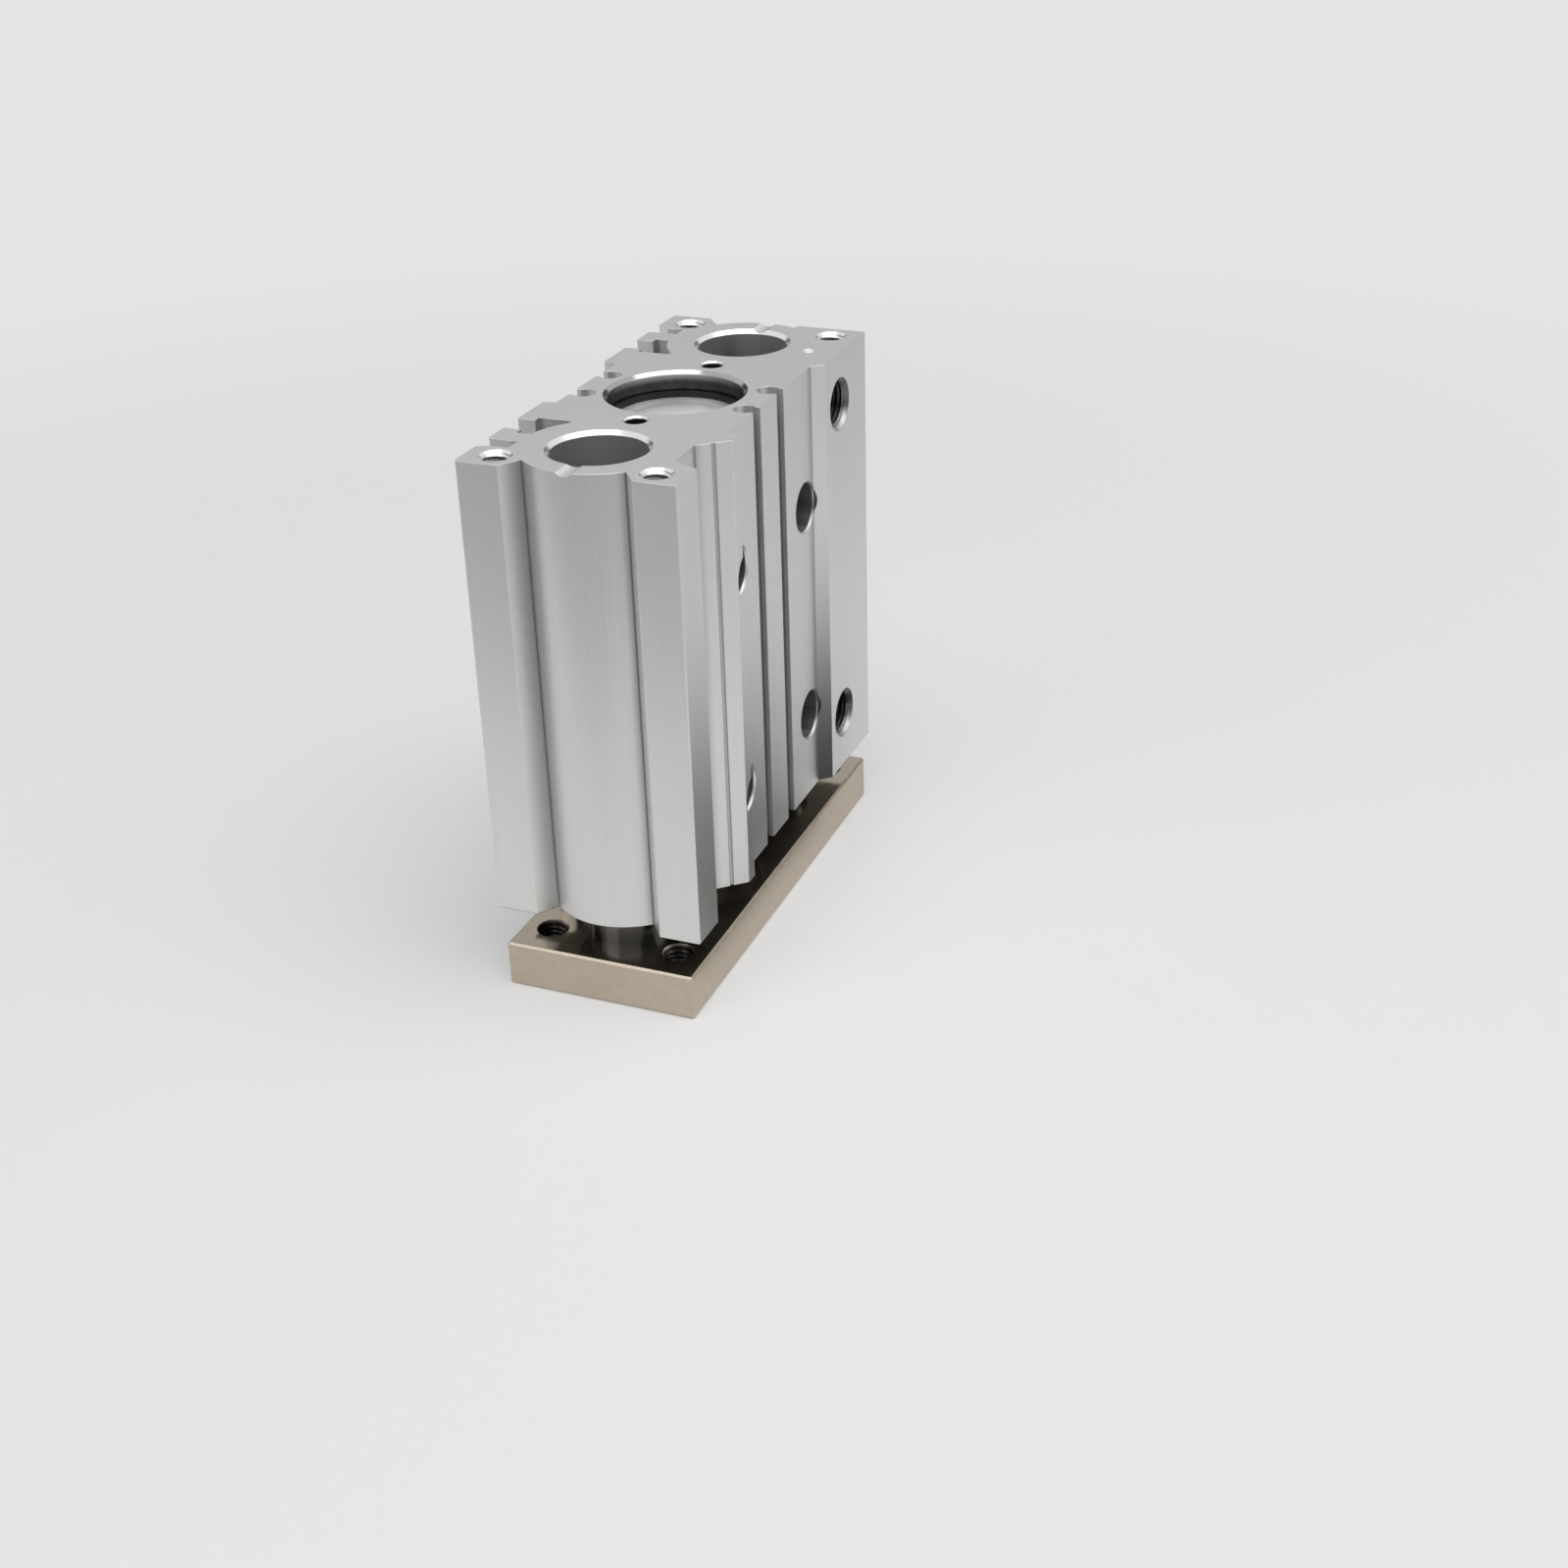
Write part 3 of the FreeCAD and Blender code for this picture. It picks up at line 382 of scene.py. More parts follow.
class Finish(Nodes):
    """One material under construction: a Principled shader and the nodes that feed it."""

    def __init__(self, name):
        self.material = bpy.data.materials.new(name)
        self.material.use_nodes = True
        super().__init__(self.material.node_tree)
        self.shader = self.add("ShaderNodeBsdfPrincipled")
        output = self.add("ShaderNodeOutputMaterial")
        self.tree.links.new(self.shader.outputs[0], output.inputs["Surface"])
        coordinates = self.add("ShaderNodeTexCoord")
        self.place = coordinates.outputs["Object"]
        self.normal = coordinates.outputs["Normal"]

    def set(self, **values):
        """Writes or joins the shader's own sockets; underscores stand for spaces."""
        for key, value in values.items():
            self.feed(self.shader.inputs[key.replace("_", " ")], value)

    def plan(self, u, v):
        """Point (u, v) of a plane."""
        point = self.add("ShaderNodeCombineXYZ")
        self.feed(point.inputs[0], u)
        self.feed(point.inputs[1], v)
        return point.outputs[0]

    def reach(self, point, centre):
        """Distance of a plane point from a centre."""
        node = self.feed_one("ShaderNodeVectorMath", point, operation="DISTANCE")
        node.inputs[1].default_value = (centre[0], centre[1], 0.0)
        return node.outputs["Value"]

    def nearest(self, point, centres):
        """Distance of a plane point from the nearest of several centres."""
        return self.total("MINIMUM", [self.reach(point, centre) for centre in centres])

    def within(self, distance, limit, blur=MASK_BLUR):
        """One inside a distance, nothing outside."""
        return self.ramp(distance, limit, limit + blur, 1.0, 0.0)

    def level(self, facing):
        """One where a face looks straight along the axis whose facing this is."""
        return self.ramp(facing, 0.90, 0.97)

    def slanted(self, facing):
        """One where a face looks about 45 degrees off the axis whose facing this is."""
        return self.both(self.ramp(facing, 0.45, 0.6), self.ramp(facing, 0.80, 0.92, 1.0, 0.0))

    def both(self, *masks):
        return self.total("MULTIPLY", masks)

    def either(self, *masks):
        return self.total("MAXIMUM", masks)

    def outside(self, mask):
        """The rest of a mask."""
        return self.math("SUBTRACT", 1.0, mask)

    def noise(self, scale, detail, stretch=(1.0, 1.0, 1.0)):
        """Noise with a feature size of about 1/scale metres, stretched along the axes."""
        mapping = self.feed_one("ShaderNodeMapping", self.place)
        mapping.inputs["Scale"].default_value = stretch
        node = self.feed_one("ShaderNodeTexNoise", mapping.outputs[0])
        node.inputs["Scale"].default_value = scale
        node.inputs["Detail"].default_value = detail
        return node.outputs["Fac"]

    def mix(self, factor, first, second):
        """Blend of two colours."""
        node = self.add("ShaderNodeMix", data_type="RGBA")
        self.feed(node.inputs["Factor"], factor)
        self.feed(node.inputs[6], first)
        self.feed(node.inputs[7], second)
        return node.outputs[2]

    def toned(self, noise, colour, dark, light):
        """A colour that wanders with a noise between two tints of itself."""
        return self.mix(self.ramp(noise, 0.3, 0.7), tinted(colour, dark), tinted(colour, light))

    def rings(self, distance, pitch):
        """Even ripples of a distance, one to each pitch."""
        return self.math("SINE", self.math("MULTIPLY", distance, 2 * math.pi / pitch))

    def bump(self, height, distance, strength, normal=None):
        node = self.add("ShaderNodeBump")
        node.inputs["Strength"].default_value = strength
        node.inputs["Distance"].default_value = distance
        self.feed(node.inputs["Height"], height)
        if normal is not None:
            self.feed(node.inputs["Normal"], normal)
        return node.outputs[0]

    def soft_edges(self, radius):
        node = self.add("ShaderNodeBevel", samples=4)
        node.inputs["Radius"].default_value = radius
        return node.outputs[0]


def tinted(colour, factor):
    """A colour made lighter or darker by a factor, kept below white."""
    return tuple(min(1.0, channel * factor) for channel in colour)


def dress(finish, *names):
    """Gives finished CAD nodes their material through their own slots."""
    for name in names:
        node = frame["nodes"].get(name)
        if node is None:
            raise RuntimeError("the packed model has no node " + name)
        for slot in node.material_slots:
            slot.material = finish.material


def anodised_finish(settings):
    """Clear anodised extrusion with milled ends, bright chamfers and bored walls.

    Masks come from the place on the piece: the end faces by their facing, the chamfers by
    their 45 degree facing near an end, the walls by distance from their hole's axis. Painted
    shade darkens the colour by depth below a hole's mouth, by distance from the profile's inner
    corners, the scribed line and the step, on the rims of the ports and seats the more they face
    down, over the underside and, on the slope beside the ports, by height.
    """
    finish = Finish("anodised_aluminium")
    ramp, both, either, within = finish.ramp, finish.both, finish.either, finish.within
    x, y, z = finish.split(finish.place)
    facing = finish.split(finish.normal)
    from_above = finish.plan(x, y)
    from_front = finish.plan(x, z)
    depth = finish.math("SUBTRACT", HEAD_Z, z)
    side_depth = finish.math("SUBTRACT", y, BODY_LOW.y)
    front_half = ramp(y, -1.0 * MM, 0.0, 1.0, 0.0)

    # Faces and holes
    end_face = finish.level(finish.size(facing[2]))
    not_end = finish.outside(end_face)
    bore = within(finish.reach(from_above, (0.0, 0.0)), BORE_R + RING_GROOVE)
    notch = both(within(x, -NOTCH_X), within(finish.size(y), NOTCH_Y))
    plain = either(notch, both(bore, ramp(depth, BORE_CHAMFER, BORE_CHAMFER + 2 * MASK_BLUR)))
    bright_end = both(finish.slanted(finish.size(facing[2])),
                      within(depth, END_CHAMFER_REACH, 2 * MASK_BLUR), finish.outside(plain))
    ball_hole = both(within(finish.reach(from_above, BALL_PLACE), BALL_R + MASK_BLUR), not_end)

    bolt_away = finish.nearest(from_front, [(hole[0], hole[2])
                                            for hole in mount_holes("through_bolt_holes")])
    port_away = finish.nearest(from_front, [(hole[0], hole[2])
                                            for name in ("port_rod_side", "port_head_side")
                                            for hole in mount_holes(name)])
    hole_blur = 0.02 * MM
    seats = both(within(bolt_away, BOLT_SEAT_R + hole_blur), front_half)
    ports = both(within(port_away, PORT_R + hole_blur), front_half)
    rims = both(finish.slanted(finish.size(facing[1])), within(side_depth, RIM_DEPTH),
                either(within(port_away, PORT_R + PORT_RIM),
                       both(within(bolt_away, BOLT_SEAT_R + SEAT_RIM),
                            within(finish.size(x), STEP_X))))
    guides = within(finish.nearest(from_above, [(-GUIDE_X, 0.0), (GUIDE_X, 0.0)]),
                    GUIDE_BORE_R + hole_blur)
    tapped = within(finish.nearest(from_above, mount_holes("head_end_threads")),
                    TAPPED_R + MASK_BLUR)
    dowels = within(finish.nearest(from_above, mount_holes("dowel_hole_left")
                                   + mount_holes("dowel_hole_right")), DOWEL_R + MASK_BLUR)
    rear_taps = both(within(bolt_away, TAPPED_R + MASK_BLUR), ramp(y, 0.0, 1.0 * MM))
    bored = either(seats, ports, rear_taps,
                   both(not_end, either(bore, guides, tapped, dowels)))

    # Grooves and steps of the profile
    slot_away = finish.size(finish.math("SUBTRACT", finish.size(x), SLOT_X))
    slot = both(within(slot_away, SLOT_WIDTH / 2), within(y, SLOT_NECK_Y),
                ramp(y, SLOT_FLOOR_Y, SLOT_FLOOR_Y + 2 * MASK_BLUR))
    switch = within(finish.nearest(from_above, [(side * SWITCH_X, groove_y) for side in (-1, 1)
                                                for groove_y in SWITCH_Y]), SWITCH_R)
    step_away = finish.size(finish.math("SUBTRACT", x, STEP_X + STEP_WIDTH / 2))
    step_slope = both(within(step_away, STEP_WIDTH / 2), within(side_depth, STEP_DEPTH))
    step_side = both(within(x, STEP_X), within(side_depth, 3.0 * MM))
    lobe_corner = ramp(y, LOBE_NOTCH_Y - 0.6 * MM, LOBE_NOTCH_Y)
    crease = finish.nearest(from_above, CREASES)

    # Painted shade: a mask, what it is measured by, from where to where in mm, its start and its
    # end
    painted_shades = (
        (bore, depth, 0.5, 2.2, 0.50, 0.99),
        (guides, depth, 0.0, 20.0, 0.0, 0.5),
        (either(tapped, dowels), depth, 0.2, 0.8, 0.0, 0.95),
        (both(within(port_away, PORT_R + PORT_RIM), front_half), side_depth, 0.4, 1.0, 0.0, 0.95),
        (seats, side_depth, 2.2, 8.8, 0.32, 0.60),
        (slot, depth, 0.0, 8.0, 0.15, 0.6),
        (switch, depth, 0.0, 6.0, 0.1, 0.28),
        (1.0, finish.reach(from_above, SCRIBE), 0.30, 0.42, 0.3, 0.0),
        (lobe_corner, finish.reach(from_above, LOBE_CREASE), 1.0, 5.0, 0.40, 0.0),
        (step_side, finish.math("SUBTRACT", x, STEP_X), -3.0, 0.0, 0.0, 0.36),
        (step_slope, z, 24.0, 76.0, 0.70, 0.0),
    )
    # Painted shade from the table, on the rims of the ports and seats, and in the inner corners
    painted_shade = either(
        *[both(mask, ramp(measure, low * MM, high * MM, first, last))
          for mask, measure, low, high, first, last in painted_shades],
        both(rims, ramp(facing[2], 0.15, 0.55, 0.80, 0.15)),
        finish.math("ADD", ramp(crease, 0.05 * MM, 0.45 * MM, 0.42, 0.0),
                    ramp(crease, 0.0, 1.7 * MM, 0.24, 0.0)))
    # Painted shade over the barrel's underside
    underside = ramp(z, BODY_LOW.z + MASK_BLUR, BODY_LOW.z + 2 * MASK_BLUR, 0.8, 0.0)
    painted_shade = either(both(painted_shade, not_end), underside)

    # Drawn sides with fine lines, milled ends, bored walls and bright chamfers
    drawn = finish.outside(either(bored, end_face))
    lines = finish.noise(1.0 / settings.line_spacing, 3.0, (1.0, 1.0, 0.006))
    grain = finish.noise(9000.0, 2.0)
    clouds = finish.noise(34.0, 2.0, (1.0, 1.0, 0.4))
    mottle = finish.noise(700.0, 3.0)

    side = finish.toned(clouds, settings.colour, 1.0, 1.05)
    side = finish.mix(ramp(lines, 0.35, 0.75, 0.0, 0.22), side, tinted(settings.colour, 0.88))
    milled = finish.mix(ramp(grain, 0.3, 0.7, 0.0, 0.5), settings.milled_colour,
                        tinted(settings.milled_colour, 1.08))
    colour = finish.mix(end_face, side, milled)
    colour = finish.mix(bored, colour, settings.bored_colour)
    colour = finish.mix(either(bright_end, ball_hole), colour, settings.bright_colour)
    # Darken the colour with the painted shade, slightly mottled
    colour = finish.mix(both(painted_shade, ramp(mottle, 0.25, 0.75, 1.01, 0.985)), colour,
                        settings.painted_shade_colour)

    rough = finish.math("ADD", ramp(grain, 0.3, 0.7, 0.37, 0.41), both(end_face, 0.05))
    rough = finish.math("SUBTRACT", rough, both(bored, 0.09))
    rough = finish.math("SUBTRACT", rough, both(bright_end, 0.16))

    cutter_middle = (-20.0 * MM, -150.0 * MM)
    cutter_marks = finish.rings(finish.reach(from_above, cutter_middle), 0.45 * MM)
    normal = finish.bump(both(lines, drawn), 0.008 * MM, 0.5,
                         finish.soft_edges(settings.edge_radius))
    normal = finish.bump(grain, 0.010 * MM, 0.5, normal)
    normal = finish.bump(both(cutter_marks, end_face, 0.25), 0.004 * MM, 0.5, normal)
    finish.set(Base_Color=colour, Roughness=rough, Normal=normal, Metallic=0.92)
    return finish


def nickel_finish(settings, edge_radius):
    """Warm plated steel: nearly mirror-like broad faces, softer mottled sides, dark holes."""
    finish = Finish("nickel_plate")
    x, y, z = finish.split(finish.place)
    flat = finish.level(finish.size(finish.split(finish.normal)[2]))
    mottle = finish.noise(420.0, 4.0)
    fine = finish.noise(3500.0, 3.0)
    ground = finish.noise(4000.0, 2.0, (0.01, 1.0, 1.0))
    holes = finish.nearest(finish.plan(x, y), mount_holes("plate_load_threads"))
    inside = finish.both(finish.within(holes, TAPPED_R + TAPPED_RIM),
                         finish.ramp(z, PLATE_HIGH.z - 0.4 * MM, PLATE_HIGH.z - 0.1 * MM,
                                     0.97, 0.0))
    colour = finish.toned(mottle, settings.nickel, 0.95, 1.05)
    colour = finish.mix(finish.ramp(fine, 0.55, 0.8, 0.0, 0.3), colour,
                        tinted(settings.nickel, 0.84))
    # Broad faces darkened as painted shade, standing in for the dark underside of the barrel that
    # they mirror
    colour = finish.mix(finish.both(flat, 0.45), colour, tinted(settings.nickel, 0.35))
    # Painted shade inside the tapped holes
    colour = finish.mix(inside, colour, PAINTED_HOLE_SHADE)
    rough = finish.ramp(mottle, 0.3, 0.7, 0.32, 0.38)
    rough = finish.math("SUBTRACT", rough, finish.both(flat, 0.25))
    normal = finish.bump(fine, 0.010 * MM, 0.4, finish.soft_edges(edge_radius))
    normal = finish.bump(finish.both(ground, flat), 0.002 * MM, 0.3, normal)
    finish.set(Base_Color=colour, Roughness=rough, Normal=normal, Metallic=0.95)
    return finish


def round_finish(name, colour, rough, axes, metallic=1.0, depth=0.003 * MM, foot=None):
    """Turned or ground metal: fine rings along each axis and round it, with a slight tone change.

    The marks are sines of the distance from the nearest of the upright axes, plus noise
    squeezed along the axis, so they run round the piece as a lathe leaves them. A piece that
    stands on another one gets painted shade just over that foot's height.
    """
    finish = Finish(name)
    x, y, z = finish.split(finish.place)
    away = finish.nearest(finish.plan(x, y), [(centre, 0.0) for centre in axes])
    rings = finish.rings(away, 0.3 * MM)
    along = finish.noise(2600.0, 3.0, (0.02, 0.02, 1.0))
    metal = finish.toned(finish.noise(160.0, 3.0), colour, 0.92, 1.06)
    if foot is not None:
        # Painted shade just over the foot
        foot_shade = finish.ramp(z, foot + 0.5 * MM, foot + 11.0 * MM, 0.85, 0.0)
        metal = finish.mix(foot_shade, metal, PAINTED_FOOT_SHADE)
    finish.set(
        Base_Color=metal,
        Roughness=finish.ramp(along, 0.3, 0.7, rough, rough + 0.08),
        Normal=finish.bump(finish.math("ADD", finish.math("MULTIPLY", rings, 0.3), along),
                           depth, 0.6, finish.soft_edges(SMALL_EDGE)),
        Metallic=metallic)
    return finish


def speckled_finish(name, colour, speck, rough, scale, metallic=0.0, depth=0.02 * MM):
    """Fine-grained piece: two noises of different size mix its colour with a speck colour."""
    finish = Finish(name)
    grain = finish.noise(scale, 4.0)
    broad = finish.toned(finish.noise(scale / 12, 2.0), colour, 0.92, 1.08)
    finish.set(
        Base_Color=finish.mix(finish.ramp(grain, 0.48, 0.66, 0.0, 0.8), broad, speck),
        Roughness=finish.ramp(grain, 0.3, 0.7, rough - 0.05, rough + 0.06),
        Normal=finish.bump(grain, depth, 0.7, finish.soft_edges(SMALL_EDGE)),
        Metallic=metallic)
    return finish


def thread_finish(name, colour, painted_shade_colour, axis, mouth, reach):
    """Cut thread: bright first turn, then darker with depth below the hole's mouth.

    The depth is the distance from the mouth along the axis, whichever way the hole runs.
    """
    finish = Finish(name)
    depth = finish.size(finish.math("SUBTRACT", finish.split(finish.place)[axis], mouth))
    tone = finish.noise(1500.0, 2.0)
    metal = finish.toned(tone, colour, 0.92, 1.05)
    # Painted shade: the colour turns to the shade colour with depth below the mouth
    finish.set(Base_Color=finish.mix(finish.ramp(depth, reach, reach + 0.5 * MM, 0.0, 0.93),
                                     metal, painted_shade_colour),
               Roughness=finish.ramp(tone, 0.3, 0.7, 0.28, 0.34), Metallic=0.92)
    return finish


def label_finish(colour):
    """Bare satin film with a trace of fibre in its tone."""
    finish = Finish("label_film")
    fibre = finish.noise(1800.0, 3.0)
    finish.set(
        Base_Color=finish.mix(finish.ramp(fibre, 0.35, 0.7), colour, tinted(colour, 1.05)),
        Roughness=finish.ramp(fibre, 0.3, 0.7, 0.36, 0.42),
        Normal=finish.bump(fibre, 0.004 * MM, 0.4),
        Metallic=0.9)
    return finish


def mesh_object(name, points, faces):
    """New mesh object at the origin from arrays of points and of quads or triangles."""
    mesh = bpy.data.meshes.new(name)
    mesh.from_pydata(points.tolist(), [], faces.tolist())
    mesh.validate()
    mesh.update()
    piece = bpy.data.objects.new(name, mesh)
    bpy.context.scene.collection.objects.link(piece)
    return piece


def helical_ridge(foot, axis, radius, length, pitch, height, steps=28):
    """Thread ridge inside a hole: (points, faces) of a closed ribbon on a helix.

    After t turns the four section corners lie at the angle 2 pi t, at radius r(s) from the
    axis and at height pitch * (t + h(s)): two corners just inside the wall, two on the crest.
    The crest's height fades to nearly nothing over the first and last half turn.
    """
    axis = np.array(axis, float)
    side = np.array([0.0, 0.0, 1.0]) if abs(axis[2]) < 0.5 else np.array([1.0, 0.0, 0.0])
    other = np.cross(axis, side)
    turns = length / pitch
    count = int(turns * steps) + 1
    t = np.linspace(0.0, turns, count)
    fade = np.clip(np.minimum(t, turns - t) * 2, 0.02, 1.0)
    section = np.array([(0.0, -0.46), (1.0, -0.07), (1.0, 0.07), (0.0, 0.46)])
    rise = section[:, 0][None, :] * (height + THREAD_SINK) * fade[:, None]
    r = radius + THREAD_SINK - rise
    h = (t[:, None] + section[:, 1][None, :] * fade[:, None]) * pitch
    angle = 2 * math.pi * t
    spoke = np.cos(angle)[:, None] * side + np.sin(angle)[:, None] * other
    points = np.array(foot, float) + r[..., None] * spoke[:, None, :] + h[..., None] * axis
    ring = np.arange(4)
    start = np.arange(count - 1)[:, None] * 4
    faces = np.stack([start + ring, start + (ring + 1) % 4,
                      start + 4 + (ring + 1) % 4, start + 4 + ring], axis=-1).reshape(-1, 4)
    caps = np.array([[3, 2, 1, 0], [4 * count - 4, 4 * count - 3, 4 * count - 2, 4 * count - 1]])
    return points.reshape(-1, 3), np.vstack([faces, caps])


def join_shapes(shapes):
    """Stacks several (points, faces) pairs into one pair."""
    offset = 0
    all_points, all_faces = [], []
    for points, faces in shapes:
        all_points.append(points)
        all_faces.append(faces + offset)
        offset += len(points)
    return np.vstack(all_points), np.vstack(all_faces)


def outward(piece):
    """Turns every face of a closed mesh outwards."""
    shape = bmesh.new()
    shape.from_mesh(piece.data)
    bmesh.ops.recalc_face_normals(shape, faces=shape.faces)
    shape.to_mesh(piece.data)
    shape.free()


def film_shape(radius, centre_x, middle_z, width, length, corner, stand_off,
               corner_rows=7, straight_rows=9, columns=17):
    """Label film on a round lobe: a rounded rectangle wrapped round an upright cylinder.

    Row v runs over the height and column u over the width w(v), which shrinks along a
    quarter circle near both ends. The point (u, v) turns to the angle u w(v) / radius about
    the lobe's axis. The outer sheet stands off the lobe, the inner one hardly, and a rim joins
    them.
    """
    rows = np.concatenate([np.linspace(0, corner, corner_rows)[:-1],
                           np.linspace(corner, length - corner, straight_rows),
                           length - np.linspace(corner, 0, corner_rows)[1:]])
    edge = np.clip(corner - np.minimum(rows, length - rows), 0, corner)
    half = width / 2 - (corner - np.sqrt(corner ** 2 - edge ** 2))
    across = np.linspace(-1, 1, columns)
    angle = across[None, :] * half[:, None] / radius
    height = np.repeat((middle_z - length / 2 + rows)[:, None], len(across), axis=1)
    sheets = [np.stack([centre_x - r * np.cos(angle), -r * np.sin(angle), height], axis=-1)
              for r in (radius + FILM_INNER, radius + stand_off)]
    n_rows, n_cols = angle.shape
    index = np.arange(n_rows * n_cols).reshape(n_rows, n_cols)
    quads = np.stack([index[:-1, :-1], index[:-1, 1:], index[1:, 1:], index[1:, :-1]],
                     axis=-1).reshape(-1, 4)
    shift = n_rows * n_cols
    rim = np.concatenate([index[0, :], index[1:, -1], index[-1, -2::-1], index[-2:0:-1, 0]])
    following = np.roll(rim, -1)
    walls = np.stack([rim, following, following + shift, rim + shift], axis=-1)
    points = np.vstack([sheet.reshape(-1, 3) for sheet in sheets])
    return points, np.vstack([quads[:, ::-1], quads + shift, walls])


def area_light(name, place, width, height, power, colour):
    """Soft rectangular lamp at a place, aimed at the object."""
    data = bpy.data.lights.new(name, "AREA")
    data.shape = "RECTANGLE"
    data.size = width
    data.size_y = height
    data.energy = power
    data.color = colour
    lamp = bpy.data.objects.new(name, data)
    turn = (Vector(LAMP_AIM) - Vector(place)).to_track_quat("-Z", "Y")
    lamp.matrix_world = Matrix.Translation(Vector(place)) @ turn.to_matrix().to_4x4()
    bpy.context.scene.collection.objects.link(lamp)


class CYLINDER_OT_stage(bpy.types.Operator):
    """Sets the pale floor, the surroundings, the soft lamps and the camera"""
    bl_idname = "cylinder.stage"
    bl_label = "Set the stage"

    def execute(self, context):
        settings = context.scene.cylinder_stage
        half = settings.floor_size / 2
        corners = np.array([[-half, -half, 0], [half, -half, 0], [half, half, 0], [-half, half, 0]])
        floor = mesh_object("studio_floor", corners, np.array([[0, 1, 2, 3]]))
        floor.data.materials.append(self.floor_material(settings))
        self.room(settings)
        for name, corners in CARDS.items():
            self.card(name, getattr(settings, name), corners)
        self.world(context, settings)
        for name, lamp in LAMPS.items():
            area_light(name, *lamp)
        self.camera(context, settings)
        return {"FINISHED"}

    def room(self, settings):
        """Dim room round the set, which the metal mirrors near the horizon.

        An upright ring: the point (u, v) stands at angle u on a circle, at height v.
        """
        turn = np.linspace(0, 2 * math.pi, ROOM_SIDES + 1)[:-1]
        rim = np.stack([np.cos(turn), np.sin(turn)], axis=-1) * settings.room_radius
        heights = np.repeat((0.0, settings.room_height), ROOM_SIDES)[:, None]
        points = np.hstack([np.vstack([rim, rim]), heights])
        index = np.arange(ROOM_SIDES)
        after = (index + 1) % ROOM_SIDES
        faces = np.stack([index, index + ROOM_SIDES, after + ROOM_SIDES, after], axis=-1)
        room = self.backing("studio_room", settings.room_colour, points, faces)

    def card(self, name, colour, corners):
        """Card on the floor with corners (x, y), which only the metal mirrors."""
        points = np.array([(x, y, CARD_HEIGHT) for x, y in corners])
        card = self.backing(name, colour, points, np.array([[0, 1, 2, 3]]))
        card.visible_diffuse = False
        card.visible_shadow = False

    def backing(self, name, colour, points, faces):
        """Matt piece of the set that the camera doesn't see."""
        piece = mesh_object(name, points, faces)
        finish = Finish(name)
        finish.set(Base_Color=colour, Roughness=0.9)
        piece.data.materials.append(finish.material)
        piece.visible_camera = False
        return piece

    def floor_material(self, settings):
        """Lit floor that turns into the even backdrop away from the object."""
        material = bpy.data.materials.new("studio_floor")
        material.use_nodes = True
        nodes = Nodes(material.node_tree)
        place = nodes.add("ShaderNodeTexCoord").outputs["Object"]
        away = nodes.feed_one("ShaderNodeVectorMath", place, operation="LENGTH").outputs["Value"]
        share = nodes.ramp(away, BLEND_NEAR, BLEND_FAR, BLEND_LEAST, 1.0)
        seen = nodes.math("MULTIPLY", share, nodes.seen())
        blend = nodes.mix_shaders(seen, nodes.shade("ShaderNodeBsdfDiffuse", settings.floor_colour),
                                  nodes.shade("ShaderNodeEmission", settings.backdrop_colour))
        nodes.feed_one("ShaderNodeOutputMaterial", blend)
        return material

    def world(self, context, settings):
        """Backdrop colour where it is seen or mirrored, a soft vertical gradient as light."""
        world = bpy.data.worlds.new("studio_surroundings")
        context.scene.world = world
        world.use_nodes = True
        nodes = Nodes(world.node_tree)
        up = nodes.split(nodes.add("ShaderNodeTexCoord").outputs["Generated"])["Z"]
        sky = nodes.feed_one("ShaderNodeValToRGB", up)
        for element, (position, level) in zip(sky.color_ramp.elements, SKY_LEVELS):
            element.position = position
            element.color = (level, level, level, 1)
        blend = nodes.mix_shaders(
            nodes.seen(), nodes.shade("ShaderNodeBackground", sky.outputs[0], SKY_STRENGTH),
            nodes.shade("ShaderNodeBackground", settings.backdrop_colour, 1.0))
        nodes.feed_one("ShaderNodeOutputWorld", blend)

    def camera(self, context, settings):
        data = bpy.data.cameras.new("photo_camera")
        data.lens = settings.camera_lens
        data.sensor_width = SENSOR_WIDTH
        data.clip_start = 0.01
        camera = bpy.data.objects.new("photo_camera", data)
        turn = Euler(settings.camera_turn).to_matrix().to_4x4()
        camera.matrix_world = Matrix.Translation(Vector(settings.camera_place)) @ turn
        context.scene.collection.objects.link(camera)
        context.scene.camera = camera
        context.scene.view_settings.view_transform = "Standard"


class CYLINDER_OT_finish_barrel(bpy.types.Operator):
    """Gives the extruded barrel its anodised sides, milled ends and bright chamfers"""
    bl_idname = "cylinder.finish_barrel"
    bl_label = "Finish the barrel"

    def execute(self, context):
        dress(anodised_finish(context.scene.cylinder_barrel), "cylinder_body")
        return {"FINISHED"}


class CYLINDER_OT_finish_plate(bpy.types.Operator):
    """Gives the end plate its warm nickel plating"""
    bl_idname = "cylinder.finish_plate"
    bl_label = "Finish the end plate"

    def execute(self, context):
        dress(nickel_finish(context.scene.cylinder_metals, PLATE_EDGE), "end_plate")
        return {"FINISHED"}


